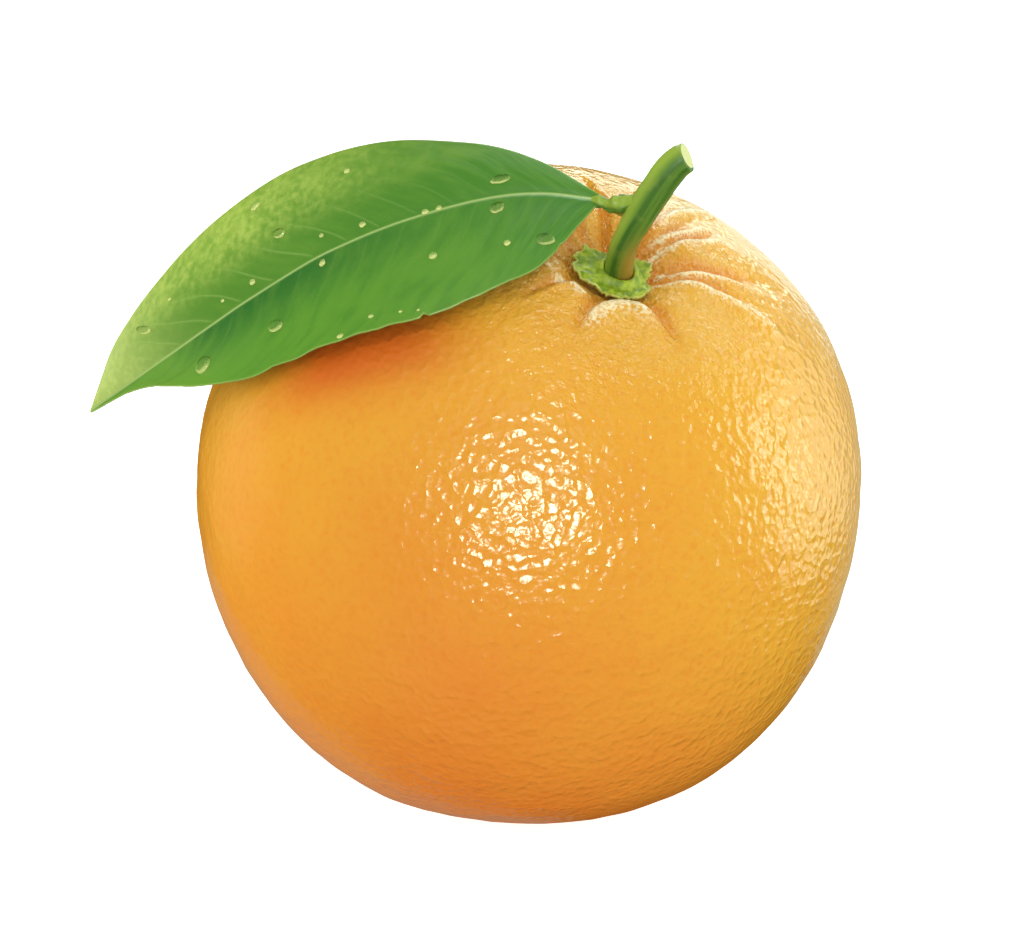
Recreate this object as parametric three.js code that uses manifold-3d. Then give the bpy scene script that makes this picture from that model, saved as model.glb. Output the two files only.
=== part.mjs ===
// An orange as picked: the fruit, the green calyx in the hollow of its stem end, a short cut
// stem, and one leaf on its petiole. Millimetres, +Z up. The origin is the centre of the small
// flat spot on which the fruit rests, straight below the fruit's centre.

import * as THREE from "three";
import { mergeVertices } from "three/addons/utils/BufferGeometryUtils.js";
import Module from "manifold-3d";

// ---- Driving dimensions: the fruit ----

const FRUIT_RADIUS = 40; // at the equator, before the swells
const REST_DEPTH = 0.7; // how far the peel is pressed flat where the fruit lies
const LEAN_FORWARD = 22.5; // degrees, stem end towards -Y
const LEAN_RIGHT = 16; // degrees, stem end towards +X

// The pit that the calyx sits in is narrower on one side, where the collar of pillows stands closer.
const HOLLOW = { depth: 2.4, radius: 6.6, narrower: 1.4, steepness: 4 };
const COLLAR = { height: 0.9, radius: 8.6, narrower: 1.7, width: 3 };
const NARROW_SIDE = -80; // degrees round the stem
const SHOULDER = { depth: 1.1, spread: 22 }; // the flatter dome around the pit
const SCAR = { depth: 0.5, spread: 3 }; // the blossom end

// Broad uneven swellings: azimuth round the stem and angle from it (degrees), height, spread (degrees).
const SWELLS = [
  [-111, 133, 0.45, 16],
  [-76, 131, -0.5, 12],
  [-35, 112, 0.3, 14],
  [33, 57, 0.5, 14],
  [-4, 85, -0.6, 14],
  [-167, 111, -0.35, 20],
  [100, 50, -0.5, 14],
  [150, 100, 0.4, 25],
  [60, 120, -0.3, 22],
  [100, 140, 0.3, 20],
];

// Furrows that run out from the calyx: azimuth (degrees), depth, reach from the stem's axis, and
// the width over which their sides rise.
const FURROWS = [
  [-111, 1.2, 14, 1.0],
  [-45, 1.5, 14, 1.0],
  [12, 1.3, 20, 0.7],
  [27, 1.9, 24, 0.9],
  [51, 1.7, 25, 0.8],
  [60, 1.2, 22, 0.55],
  [72, 1.4, 24, 0.7],
  [87, 1.2, 22, 0.7],
  [105, 1.4, 23, 0.8],
  [129, 1.2, 19, 0.9],
  [153, 1.3, 17, 0.9],
  [180, 1.0, 15, 0.9],
  [213, 1.2, 15, 1.0],
];
const FURROW_ROUND = 0.2; // how rounded a furrow's bottom is
const FURROW_START = [3.5, 6.0]; // furrows deepen between these distances from the axis

// ---- Driving dimensions: calyx, stem, petiole, leaf ----

const GAP = 0.3; // between neighbouring pieces
const SEAT_GAP = 0.4; // between the calyx and the uneven peel below it

// The calyx's ragged edge: azimuth (degrees), radius, lift of the edge off the peel.
const CALYX_EDGE = [
  [-90, 4.7, 0.2],
  [-68, 3.9, 0.2],
  [-47, 4.0, 0.3],
  [-22, 3.8, 0.4],
  [2, 3.1, 0.3],
  [25, 3.8, 0.8],
  [38, 4.4, 1.1],
  [60, 3.4, 0.7],
  [85, 3.1, 0.3],
  [120, 3.1, 0.3],
  [148, 4.9, 1.0],
  [159, 4.3, 0.7],
  [169, 5.0, 1.0],
  [180, 4.6, 0.7],
  [193, 5.2, 0.9],
  [213, 4.5, 0.5],
  [231, 4.1, 0.6],
  [248, 4.0, 0.3],
];
// The calyx's upper profile outwards from its middle: radius, height above its underside.
const CALYX_SOCKET = [1.9, 0.8]; // floor that the stem stands on
const CALYX_RING = [
  [2.0, 1.5],
  [2.35, 1.55],
  [2.7, 0.95],
];
const CALYX_UNDERSIDE = [1.2, 2.2, 2.85]; // radii of its loops below
const CALYX_RIM_THICKNESS = 0.6;
const CALYX_SIDES = 60;

// The stem's centre line in the fruit's own frame, which has the fruit's axis as +Z.
// Its foot stands on the axis, on the floor of the calyx's socket.
const STEM_PATH = [
  [-0.42, -0.45, 40.3],
  [-0.72, -0.8, 42.6],
  [-0.62, -0.88, 45],
  [-0.15, -0.5, 47.6],
  [0.5, 0.3, 50.8],
  [1.45, 1.35, 53.5],
  [2.5, 2, 54.9],
];
const STEM_RADII = [1.62, 1.55, 1.5, 1.5, 1.6, 1.72, 1.72, 1.65]; // at the points of its path
const STEM_RIBS = { count: 3, depth: 0.05 }; // a slightly three-cornered section
const STEM_CUT = [0.69, 0.09, 0.72]; // the way the slanting cut faces
const STEM_SEAT_LENGTH = 3; // length over which its rings turn level towards the foot
const STEM_NODE = { at: 47.6, height: 0.3, length: 1.5 }; // swelling below the petiole

const PETIOLE_PATH = [
  [-2.35, 0.45, 47.5],
  [-3.15, 0.75, 46.9],
  [-3.9, 1.05, 46.5],
  [-4.6, 1.3, 46.35],
];
const PETIOLE_RADII = [1.05, 1.0, 0.74, 0.84, 0.78]; // base, swollen joint, neck, stalk, leaf end

// The leaf's own frame: x from its base to its tip, y across it, z out of its upper face.
const LEAF_BASE = [7.2, -16.4, 43]; // from the fruit's centre
const LEAF_HEADING = 163; // degrees about +Z, 0 being +X
const LEAF_DROOP = 28; // degrees that the tip hangs below the base
const LEAF_ROLL = -42; // degrees about its own length
const LEAF_MIDRIB = [
  [0, 0, 0],
  [5.2, -1.4, 3],
  [11, -2, 5.3],
  [20.4, -1.9, 7.4],
  [30.5, -1.6, 8],
  [41.4, -0.7, 7],
  [53.3, -0.1, 4.5],
  [61.8, 0.1, 2.4],
  [70.6, 0.1, 0],
];
const LEAF_FAR_EDGE = [
  [-0.2, -0.7, 0],
  [5.2, -6, 2.5],
  [11.9, -10.2, 4.5],
  [23.4, -14.1, 6.9],
  [35.6, -14.6, 8],
  [47.2, -12.3, 7.3],
  [57.7, -8.5, 5.2],
  [64.5, -4.8, 3.2],
  [70.6, -0.2, 0],
];
const LEAF_NEAR_EDGE = [
  [0.2, 0.7, 0],
  [6.5, 6.5, 1.8],
  [10.8, 9, 4.5],
  [17.4, 11.2, 7.3],
  [25.3, 11.2, 9],
  [35.3, 10.6, 8.4],
  [48.9, 7.2, 5.6],
  [59.9, 2.5, 3.6],
  [70.6, 0.3, 0],
];
const LEAF_CROWN = { far: 0.9, near: -0.5 }; // how much each half bulges (+) or dishes (-)
const LEAF_WAVE = { count: 15, far: 0.08, near: 0.22 }; // the finely toothed, wavy margin
const LEAF_THICKNESS = { edge: 0.65, midrib: 1.0 };
const LEAF_ROWS = 45;
const LEAF_COLUMNS = 12;

// ---- Fineness of the meshes ----

const FINE_SIDES = 120; // round the furrowed stem end
const PLAIN_SIDES = 60; // round the rest of the fruit
const STEM_END_RINGS = [2, 4, 5, 6, 7, 8, 9, 10.2, 11.6, 13.2, 15, 17.2, 19.8]; // radii of the furrowed rings
const PLAIN_RING_STEP = 7; // degrees between the other rings
const STEM_STEPS = 18;
const STEM_SIDES = 16;
const PETIOLE_STEPS = 8;
const PETIOLE_SIDES = 12;

const { degToRad, lerp, smoothstep } = THREE.MathUtils;
const CENTRE_HEIGHT = FRUIT_RADIUS - REST_DEPTH;

// ---- Shared geometry helpers ----

const vector = (xyz) => new THREE.Vector3(...xyz);

const gaussian = (x, spread) => Math.exp(-((x / spread) ** 2));

// A point of the fruit's own frame, from its angle off the stem's axis, azimuth and distance.
const fromAxis = (polar, azimuth, distance) =>
  new THREE.Vector3(
    distance * Math.sin(polar) * Math.cos(azimuth),
    distance * Math.sin(polar) * Math.sin(azimuth),
    distance * Math.cos(polar),
  );

// Joins two neighbouring loops of points, which may have different counts, with triangles.
function joinLoops(indices, below, above) {
  const stepsBelow = below.count > 1 ? below.count : 0;
  const stepsAbove = above.count > 1 ? above.count : 0;
  let i = 0;
  let j = 0;
  while (i < stepsBelow || j < stepsAbove) {
    const here = [below.start + (i % below.count), above.start + (j % above.count)];
    const nextBelow = i < stepsBelow ? (i + 1) / stepsBelow : Infinity;
    const nextAbove = j < stepsAbove ? (j + 1) / stepsAbove : Infinity;
    if (nextBelow <= nextAbove) {
      i += 1;
      indices.push(here[0], below.start + (i % below.count), here[1]);
    } else {
      j += 1;
      indices.push(here[0], above.start + (j % above.count), here[1]);
    }
  }
}

// A closed body from a stack of loops, counter-clockwise seen from the stack's top. The first
// and the last loop are single points.
function stackLoops(loops) {
  const geometry = new THREE.BufferGeometry().setFromPoints(loops.flat());
  const indices = [];
  let below = { start: 0, count: loops[0].length };
  for (const loop of loops.slice(1)) {
    const above = { start: below.start + below.count, count: loop.length };
    joinLoops(indices, below, above);
    below = above;
  }
  geometry.setIndex(indices);
  return geometry;
}

// A value that runs smoothly through the given ones, at a fraction of the way along them.
function runThrough(values, fraction) {
  const points = values.map((value, k) => new THREE.Vector3(k, value, 0));
  return new THREE.CatmullRomCurve3(points, false, "catmullrom", 0.5).getPoint(fraction).y;
}

const curveThrough = (points) => new THREE.CatmullRomCurve3(points.map(vector), false, "catmullrom", 0.5);

// Slides a point along a direction until it lies in the plane through a centre.
function slideToPlane(point, along, centre, facing, weight) {
  const distance = centre.clone().sub(point).dot(facing) / along.dot(facing);
  return point.clone().addScaledVector(along, distance * weight);
}

function namedMesh(name, geometry, color, roughness) {
  const mesh = new THREE.Mesh(geometry, new THREE.MeshStandardMaterial({ color, roughness, metalness: 0 }));
  mesh.name = name;
  return mesh;
}

// ---- The fruit's surface ----

function swellHeight(polar, azimuth) {
  let height = 0;
  for (const [towards, angle, rise, spread] of SWELLS) {
    const centre = degToRad(angle);
    const cosine =
      Math.cos(polar) * Math.cos(centre) +
      Math.sin(polar) * Math.sin(centre) * Math.cos(azimuth - degToRad(towards));
    height += rise * gaussian(Math.acos(Math.min(cosine, 1)), degToRad(spread) * Math.SQRT2);
  }
  return height;
}

function furrowDepth(out, azimuth) {
  let depth = 0;
  for (const [towards, deepest, reach, width] of FURROWS) {
    const turn = azimuth - degToRad(towards);
    const aside = out * Math.abs(Math.atan2(Math.sin(turn), Math.cos(turn)));
    const along = smoothstep(out, ...FURROW_START) * (1 - smoothstep(out, reach / 2, reach));
    depth += deepest * along * Math.exp(-Math.hypot(aside, FURROW_ROUND) / width);
  }
  return depth;
}

// The distance from the fruit's centre to its peel in a direction.
function peelRadius(polar, azimuth) {
  const out = FRUIT_RADIUS * Math.sin(polar);
  const radius = FRUIT_RADIUS + swellHeight(polar, azimuth);
  if (polar > Math.PI / 2) return radius - SCAR.depth * gaussian(out, SCAR.spread);
  const narrowing = Math.cos(azimuth - degToRad(NARROW_SIDE));
  const wall = out / (HOLLOW.radius - HOLLOW.narrower * narrowing);
  const hollow = HOLLOW.depth * Math.exp(-(wall ** HOLLOW.steepness));
  const shoulder = SHOULDER.depth * gaussian(out, SHOULDER.spread);
  const collar = COLLAR.height * gaussian(out - COLLAR.radius + COLLAR.narrower * narrowing, COLLAR.width);
  return radius - hollow - shoulder + collar - furrowDepth(out, azimuth);
}

const peelPoint = (polar, azimuth) => fromAxis(polar, azimuth, peelRadius(polar, azimuth));

function peelLoop(polar, sides) {
  return Array.from({ length: sides }, (_, k) => peelPoint(polar, (k / sides) * 2 * Math.PI));
}

// ---- The pieces ----

// The whole peel is one body, laid down with its lean and trimmed flat at the surface it rests on.
function makeFruit(laying, wasm) {
  const furrowed = STEM_END_RINGS.map((out) => Math.asin(out / FRUIT_RADIUS));
  const lowest = furrowed.at(-1);
  const plainCount = Math.round((180 - THREE.MathUtils.radToDeg(lowest)) / PLAIN_RING_STEP);
  const loops = [[peelPoint(Math.PI, 0)]];
  for (let k = plainCount - 1; k > 0; k -= 1) {
    loops.push(peelLoop(lerp(lowest, Math.PI, k / plainCount), PLAIN_SIDES));
  }
  for (const polar of furrowed.reverse()) {
    loops.push(peelLoop(polar, polar > Math.asin(4.5 / FRUIT_RADIUS) ? FINE_SIDES : PLAIN_SIDES));
  }
  loops.push([peelPoint(0, 0)]);
  const whole = stackLoops(loops).applyQuaternion(laying);

  const block = new THREE.BoxGeometry(3 * FRUIT_RADIUS, 3 * FRUIT_RADIUS, 3 * FRUIT_RADIUS);
  block.translate(0, 0, 1.5 * FRUIT_RADIUS - CENTRE_HEIGHT);
  const trimmed = toSolid(whole, wasm).intersect(toSolid(block, wasm));
  return namedMesh("fruit", fromSolid(trimmed), 0xe8983a, 0.35);
}

function toSolid(geometry, wasm) {
  const bare = geometry.clone();
  bare.deleteAttribute("normal");
  bare.deleteAttribute("uv");
  const merged = mergeVertices(bare, 1e-5);
  const vertProperties = new Float32Array(merged.attributes.position.array);
  const triVerts = new Uint32Array(merged.index.array);
  return new wasm.Manifold(new wasm.Mesh({ numProp: 3, vertProperties, triVerts }));
}

function fromSolid(solid) {
  const { vertProperties, triVerts } = solid.getMesh();
  const geometry = new THREE.BufferGeometry();
  geometry.setAttribute("position", new THREE.BufferAttribute(vertProperties, 3));
  geometry.setIndex(new THREE.BufferAttribute(triVerts, 1));
  return geometry;
}

// The edge's radius and lift at an azimuth, on straight runs between the listed tips and notches.
function calyxEdge(azimuth) {
  const turn = 360;
  const first = CALYX_EDGE[0][0];
  const angle = ((((azimuth - first) % turn) + turn) % turn) + first;
  const corners = [...CALYX_EDGE, [first + turn, CALYX_EDGE[0][1], CALYX_EDGE[0][2]]];
  const next = corners.findIndex((corner) => corner[0] > angle);
  const [a, b] = [corners[next - 1], corners[next]];
  const share = (angle - a[0]) / (b[0] - a[0]);
  return { radius: lerp(a[1], b[1], share), lift: lerp(a[2], b[2], share) };
}

// A thin ragged saucer that follows the hollow of the peel, with a raised ring round the stem's foot.
function makeCalyx() {
  const place = (azimuth, radius, height) => {
    const polar = Math.asin(radius / (FRUIT_RADIUS - HOLLOW.depth - SHOULDER.depth));
    return fromAxis(polar, azimuth, peelRadius(polar, azimuth) + SEAT_GAP + height);
  };
  const loopAt = (choose) =>
    Array.from({ length: CALYX_SIDES }, (_, k) => {
      const azimuth = (k / CALYX_SIDES) * 360;
      const [radius, height] = choose(calyxEdge(azimuth));
      return place(degToRad(azimuth), radius, height);
    });
  const underside = CALYX_UNDERSIDE.map((radius) => loopAt(() => [radius, 0]));
  const edge = [
    loopAt(({ radius, lift }) => [radius, lift]),
    loopAt(({ radius, lift }) => [radius, lift + CALYX_RIM_THICKNESS]),
  ];
  const ring = CALYX_RING.toReversed().map(([radius, height]) => loopAt(() => [radius, height]));
  const socket = loopAt(() => CALYX_SOCKET);
  const loops = [[place(0, 0, 0)], ...underside, ...edge, ...ring, socket, [place(0, 0, CALYX_SOCKET[1])]];
  return namedMesh("calyx", stackLoops(loops), 0x87aa41, 0.6);
}

// A tube along a curve. reshape may move each point of each ring.
function sweepTube(curve, steps, sides, radiusAt, reshape = (point) => point) {
  const frames = curve.computeFrenetFrames(steps, false);
  const loops = [];
  for (let k = 0; k <= steps; k += 1) {
    const centre = curve.getPointAt(k / steps);
    const loop = Array.from({ length: sides }, (_, side) => {
      const angle = (side / sides) * 2 * Math.PI;
      const radius = radiusAt(k / steps, angle);
      const point = centre
        .clone()
        .addScaledVector(frames.normals[k], radius * Math.cos(angle))
        .addScaledVector(frames.binormals[k], radius * Math.sin(angle));
      return reshape(point, centre, frames.tangents[k], k / steps);
    });
    loops.push(loop);
  }
  const middle = (loop) => loop.reduce((sum, point) => sum.add(point), new THREE.Vector3()).divideScalar(sides);
  return stackLoops([[middle(loops[0])], ...loops, [middle(loops.at(-1))]]);
}

// The stem stands flat in the calyx's socket, swells where the petiole leaves it, and ends in a slanting cut.
function makeStem() {
  const footHeight = peelRadius(0, 0) + SEAT_GAP + CALYX_SOCKET[1] + GAP;
  const curve = curveThrough([[0, 0, footHeight], ...STEM_PATH]);
  const length = curve.getLength();
  const foot = curve.getPoint(0);
  const tip = curve.getPoint(1);
  const up = new THREE.Vector3(0, 0, 1);
  const cut = vector(STEM_CUT).normalize();
  const petioleStart = vector(PETIOLE_PATH[0]);

  const radiusAt = (fraction, angle) =>
    runThrough(STEM_RADII, curve.getUtoTmapping(fraction)) * (1 + STEM_RIBS.depth * Math.cos(STEM_RIBS.count * angle));

  const reshape = (point, centre, tangent, fraction) => {
    const fromFoot = fraction * length;
    const fromTip = length - fromFoot;
    const towardsPetiole = petioleStart.clone().sub(centre).setZ(0).normalize();
    const outwards = point.clone().sub(centre).setZ(0).normalize();
    const facing = Math.max(0, outwards.dot(towardsPetiole));
    const rise = STEM_NODE.height * facing ** 2 * gaussian(centre.z - STEM_NODE.at, STEM_NODE.length);
    const swollen = point.clone().addScaledVector(outwards, rise);
    const seated = slideToPlane(swollen, tangent, foot, up, 1 - smoothstep(fromFoot, 0, STEM_SEAT_LENGTH));
    return slideToPlane(seated, tangent, tip, cut, fromTip < 1e-6 ? 1 : 0);
  };
  return namedMesh("stem", sweepTube(curve, STEM_STEPS, STEM_SIDES, radiusAt, reshape), 0x557828, 0.55);
}

// The petiole's base stands upright against the stem, a gap away, and its other end meets the leaf.
function makePetiole() {
  const curve = curveThrough(PETIOLE_PATH);
  const away = curve.getTangent(0).setZ(0).normalize();
  const radiusAt = (fraction) => runThrough(PETIOLE_RADII, fraction);
  const reshape = (point, centre, tangent, fraction) =>
    slideToPlane(point, tangent, centre, away, Math.max(0, 1 - 3 * fraction));
  const tube = sweepTube(curve, PETIOLE_STEPS, PETIOLE_SIDES, radiusAt, reshape);
  return namedMesh("petiole", tube, 0x5f8a35, 0.55);
}

// ---- The leaf ----

const leafMidrib = curveThrough(LEAF_MIDRIB);
const leafEdges = { far: curveThrough(LEAF_FAR_EDGE), near: curveThrough(LEAF_NEAR_EDGE) };

// A point of the leaf's upper face. along runs from 0 at the base to 1 at the tip, and across
// from -1 at the far edge over 0 at the midrib to 1 at the near edge.
function leafPoint(along, across) {
  const side = across < 0 ? "far" : "near";
  const share = Math.abs(across);
  const rib = leafMidrib.getPoint(along);
  const edge = leafEdges[side].getPoint(along);
  const outwards = edge.clone().sub(rib);
  const width = outwards.length();
  const fullness = Math.sin(Math.PI * Math.min(along, 1)) ** 0.5;
  const wave = LEAF_WAVE[side] * Math.sin(2 * Math.PI * LEAF_WAVE.count * along) * fullness;
  const point = rib.addScaledVector(outwards, share);
  point.addScaledVector(outwards, (wave * share ** 4) / Math.max(width, 1));
  point.z += 4 * LEAF_CROWN[side] * share * (1 - share) * fullness + wave * share ** 3;
  return point;
}

// The way that the upper face looks at a point, from its slope along and across.
function leafFacing(along, across) {
  const step = 1e-3;
  const [a0, a1] = [Math.max(along - step, 0), Math.min(along + step, 1)];
  const [c0, c1] = [Math.max(across - step, -1), Math.min(across + step, 1)];
  const lengthwise = leafPoint(a1, across).sub(leafPoint(a0, across));
  const crosswise = leafPoint(along, c1).sub(leafPoint(along, c0));
  return lengthwise.cross(crosswise).normalize();
}

// A thin sheet between two grids of points, split into triangles alike on both faces.
function sheetBetween(upper, lower) {
  const rows = upper.length;
  const columns = upper[0].length;
  const geometry = new THREE.BufferGeometry().setFromPoints([...upper.flat(), ...lower.flat()]);
  const top = (row, column) => row * columns + column;
  const bottom = (row, column) => (rows + row) * columns + column;
  const indices = [];
  const quad = (a, b, c, d) => indices.push(a, b, d, b, c, d);
  for (let row = 0; row + 1 < rows; row += 1) {
    for (let column = 0; column + 1 < columns; column += 1) {
      const [r, c] = [row + 1, column + 1];
      indices.push(top(row, column), top(r, column), top(row, c), top(r, column), top(r, c), top(row, c));
      indices.push(bottom(row, column), bottom(row, c), bottom(r, column));
      indices.push(bottom(r, column), bottom(row, c), bottom(r, c));
    }
    quad(bottom(row, 0), bottom(row + 1, 0), top(row + 1, 0), top(row, 0));
    const last = columns - 1;
    quad(top(row, last), top(row + 1, last), bottom(row + 1, last), bottom(row, last));
  }
  for (let column = 0; column + 1 < columns; column += 1) {
    const next = column + 1;
    quad(bottom(0, next), bottom(0, column), top(0, column), top(0, next));
    quad(bottom(rows - 1, column), bottom(rows - 1, next), top(rows - 1, next), top(rows - 1, column));
  }
  geometry.setIndex(indices);
  return geometry;
}

function makeLeaf() {
  const upper = [];
  const lower = [];
  for (let row = 0; row <= LEAF_ROWS; row += 1) {
    const upperRow = [];
    const lowerRow = [];
    for (let column = 0; column <= LEAF_COLUMNS; column += 1) {
      const along = row / LEAF_ROWS;
      const across = (2 * column) / LEAF_COLUMNS - 1;
      const thickness = lerp(LEAF_THICKNESS.midrib, LEAF_THICKNESS.edge, Math.min(1, 3 * Math.abs(across)));
      const point = leafPoint(along, across);
      upperRow.push(point);
      lowerRow.push(point.clone().addScaledVector(leafFacing(along, across), -thickness));
    }
    upper.push(upperRow);
    lower.push(lowerRow);
  }
  return namedMesh("leaf", sheetBetween(upper, lower), 0x5e933b, 0.4);
}

// ---- Assembly ----

const wasm = await Module();
wasm.setup();

const crown = new THREE.Group(); // turned with the fruit's axis, about the fruit's centre
crown.rotation.set(degToRad(LEAN_FORWARD), degToRad(LEAN_RIGHT), 0, "YXZ");
crown.add(makeCalyx(), makeStem(), makePetiole());

const leaf = makeLeaf();
leaf.position.set(...LEAF_BASE);
leaf.rotation.set(degToRad(LEAF_ROLL), degToRad(LEAF_DROOP), degToRad(LEAF_HEADING), "ZYX");

const orange = new THREE.Group();
orange.position.z = CENTRE_HEIGHT;
orange.add(makeFruit(crown.quaternion, wasm), crown, leaf);

const part = new THREE.Group();
part.add(orange);

export default part;
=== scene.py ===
# %% [markdown]
# # An orange, as picked, with its stem and one leaf
# This lesson dresses a plain model of an orange. The plain model already holds every size and
# place, so each cell below makes one finer piece that keeps its form and stands in for it:
# the peel, the calyx, the stem, the petiole and the leaf, with a few drops of dew. Lengths are
# written in millimetres, because that is how one measures a fruit, and become metres at the end
# of each piece.

# %% Load the plain model
import math

import bmesh
import bpy
from mathutils import Matrix, Vector, kdtree, noise


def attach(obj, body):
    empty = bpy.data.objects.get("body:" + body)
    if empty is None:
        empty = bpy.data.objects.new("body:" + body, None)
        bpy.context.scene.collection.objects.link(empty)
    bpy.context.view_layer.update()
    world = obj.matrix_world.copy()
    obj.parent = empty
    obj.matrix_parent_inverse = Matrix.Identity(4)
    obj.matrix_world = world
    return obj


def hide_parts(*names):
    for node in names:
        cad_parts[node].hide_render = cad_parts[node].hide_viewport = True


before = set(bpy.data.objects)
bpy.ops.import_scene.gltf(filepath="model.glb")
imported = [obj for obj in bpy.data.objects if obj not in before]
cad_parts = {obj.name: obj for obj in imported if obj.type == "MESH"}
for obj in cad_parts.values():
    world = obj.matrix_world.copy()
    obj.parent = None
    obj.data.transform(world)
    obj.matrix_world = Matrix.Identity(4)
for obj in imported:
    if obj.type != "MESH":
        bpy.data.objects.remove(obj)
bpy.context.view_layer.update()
MM = 0.001
print("plain nodes:", sorted(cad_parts))

# %% [markdown]
# ## The camera
# The fruit is seen from a little above, through a lens of medium length, from about a third
# of a metre away. The camera stands on the line through the fruit's centre, moved a few
# millimetres aside so that the fruit sits a little right of and below the picture's middle.

# %% Place the camera
FRUIT_RADIUS = 40
REST_DEPTH = 0.7  # how much of the ball the flat rest spot takes off
CENTRE = Vector((0, 0, FRUIT_RADIUS - REST_DEPTH))
VIEW_DISTANCE = 343
VIEW_ELEVATION = 25
VIEW_ASIDE = Vector((-1.89, 2.54))  # to the camera's right, and up
LENS = 100
NEAREST_SEEN = 0.01

elevation = math.radians(VIEW_ELEVATION)
towards_camera = Vector((0, -math.cos(elevation), math.sin(elevation)))
camera_up = Vector((0, math.sin(elevation), math.cos(elevation)))
camera_right = Vector((1, 0, 0))

camera = bpy.data.objects.new("camera", bpy.data.cameras.new("camera"))
camera.data.lens = LENS
camera.data.clip_start = NEAREST_SEEN
camera_place = CENTRE + towards_camera * VIEW_DISTANCE
camera_place += camera_right * VIEW_ASIDE.x
camera_place += camera_up * VIEW_ASIDE.y
camera.location = camera_place * MM
camera.rotation_euler = (math.radians(90 - VIEW_ELEVATION), 0, 0)
bpy.context.scene.collection.objects.link(camera)
bpy.context.scene.camera = camera
print("camera at", [round(v, 4) for v in camera.location])

# %% [markdown]
# ## Curves through a few points
# Stems and leaves bend smoothly through places that can be measured. A Catmull-Rom curve
# passes through each of its points, so the few numbers written down are points of the real
# shape. The same function also runs smoothly through plain numbers, such as the radii along a
# stem. Smooth steps, bells, soft noise and turns are the other helpers that all shapes share.


# %% Define the curve and the small helpers
def run_through(points, fraction):
    """The place a fraction of the way along the smooth curve through points or numbers."""
    last = len(points) - 1
    place = min(max(fraction, 0), 1) * last
    k = min(int(place), last - 1)
    w = place - k
    here, there = points[k], points[k + 1]
    before = points[k - 1] if k > 0 else here * 2 - there
    after = points[k + 2] if k + 2 <= last else there * 2 - here
    start, end = (there - before) * 0.5, (after - here) * 0.5
    square = (there - here) * 3 - start * 2 - end
    cube = (here - there) * 2 + start + end
    return here + (start + (square + cube * w) * w) * w


def vectors(rows):
    """Rows of three numbers as vectors."""
    return [Vector(row) for row in rows]


def smoothstep(low, high, value):
    """0 below low, 1 above high, and a smooth rise between."""
    share = min(max((value - low) / (high - low), 0), 1)
    return share * share * (3 - 2 * share)


def gaussian(x, spread):
    """A bell curve of height 1."""
    return math.exp(-((x / spread) ** 2))


def unevenness(x, y, z):
    """Soft noise that stays within about a half of 0."""
    return noise.noise(Vector((x, y, z)))


def turned_about(axis, degrees):
    """A turn about one axis."""
    return Matrix.Rotation(math.radians(degrees), 4, axis)


# %% [markdown]
# ## Shader maths with plain signs
# A material is a net of nodes, and sums of nodes are hard to read as nets. One small class
# wraps a socket, so that `1 - mask` or `a * b` adds the Math nodes by itself. Every other node
# comes from one method that takes its type, its settings and what feeds it.


# %% Define the wrapped socket
class Signal:
    """A node's output that plain signs can join with others and with numbers."""

    def __init__(self, finish, socket):
        self.finish = finish
        self.socket = socket

    def join(self, operation, *terms):
        """A Math node that works on the terms in turn."""
        settings = {"operation": operation}
        return self.finish.node("ShaderNodeMath", settings, dict(enumerate(terms)))

    def __add__(self, other):
        return self.join("ADD", self, other)

    def __sub__(self, other):
        return self.join("SUBTRACT", self, other)

    def __rsub__(self, other):
        return self.join("SUBTRACT", other, self)

    def __mul__(self, other):
        return self.join("MULTIPLY", self, other)

    def __truediv__(self, other):
        return self.join("DIVIDE", self, other)

    def __neg__(self):
        return self * -1

    def __abs__(self):
        return self.join("ABSOLUTE", self)

    __radd__ = __add__
    __rmul__ = __mul__

    def fraction(self):
        """What is left of this signal above the whole number below it."""
        return self.join("FRACT", self)

    def bell(self, spread):
        """1 where this signal is 0, falling off on both sides over a spread."""
        scaled = self / spread
        return self.join("EXPONENT", -(scaled * scaled))

    def rise(self, low, high):
        """0 below low, 1 above high, and a smooth rise between."""
        settings = {"interpolation_type": "SMOOTHSTEP"}
        inputs = {"Value": self, "From Min": low, "From Max": high}
        return self.finish.node("ShaderNodeMapRange", settings, inputs)


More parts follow.
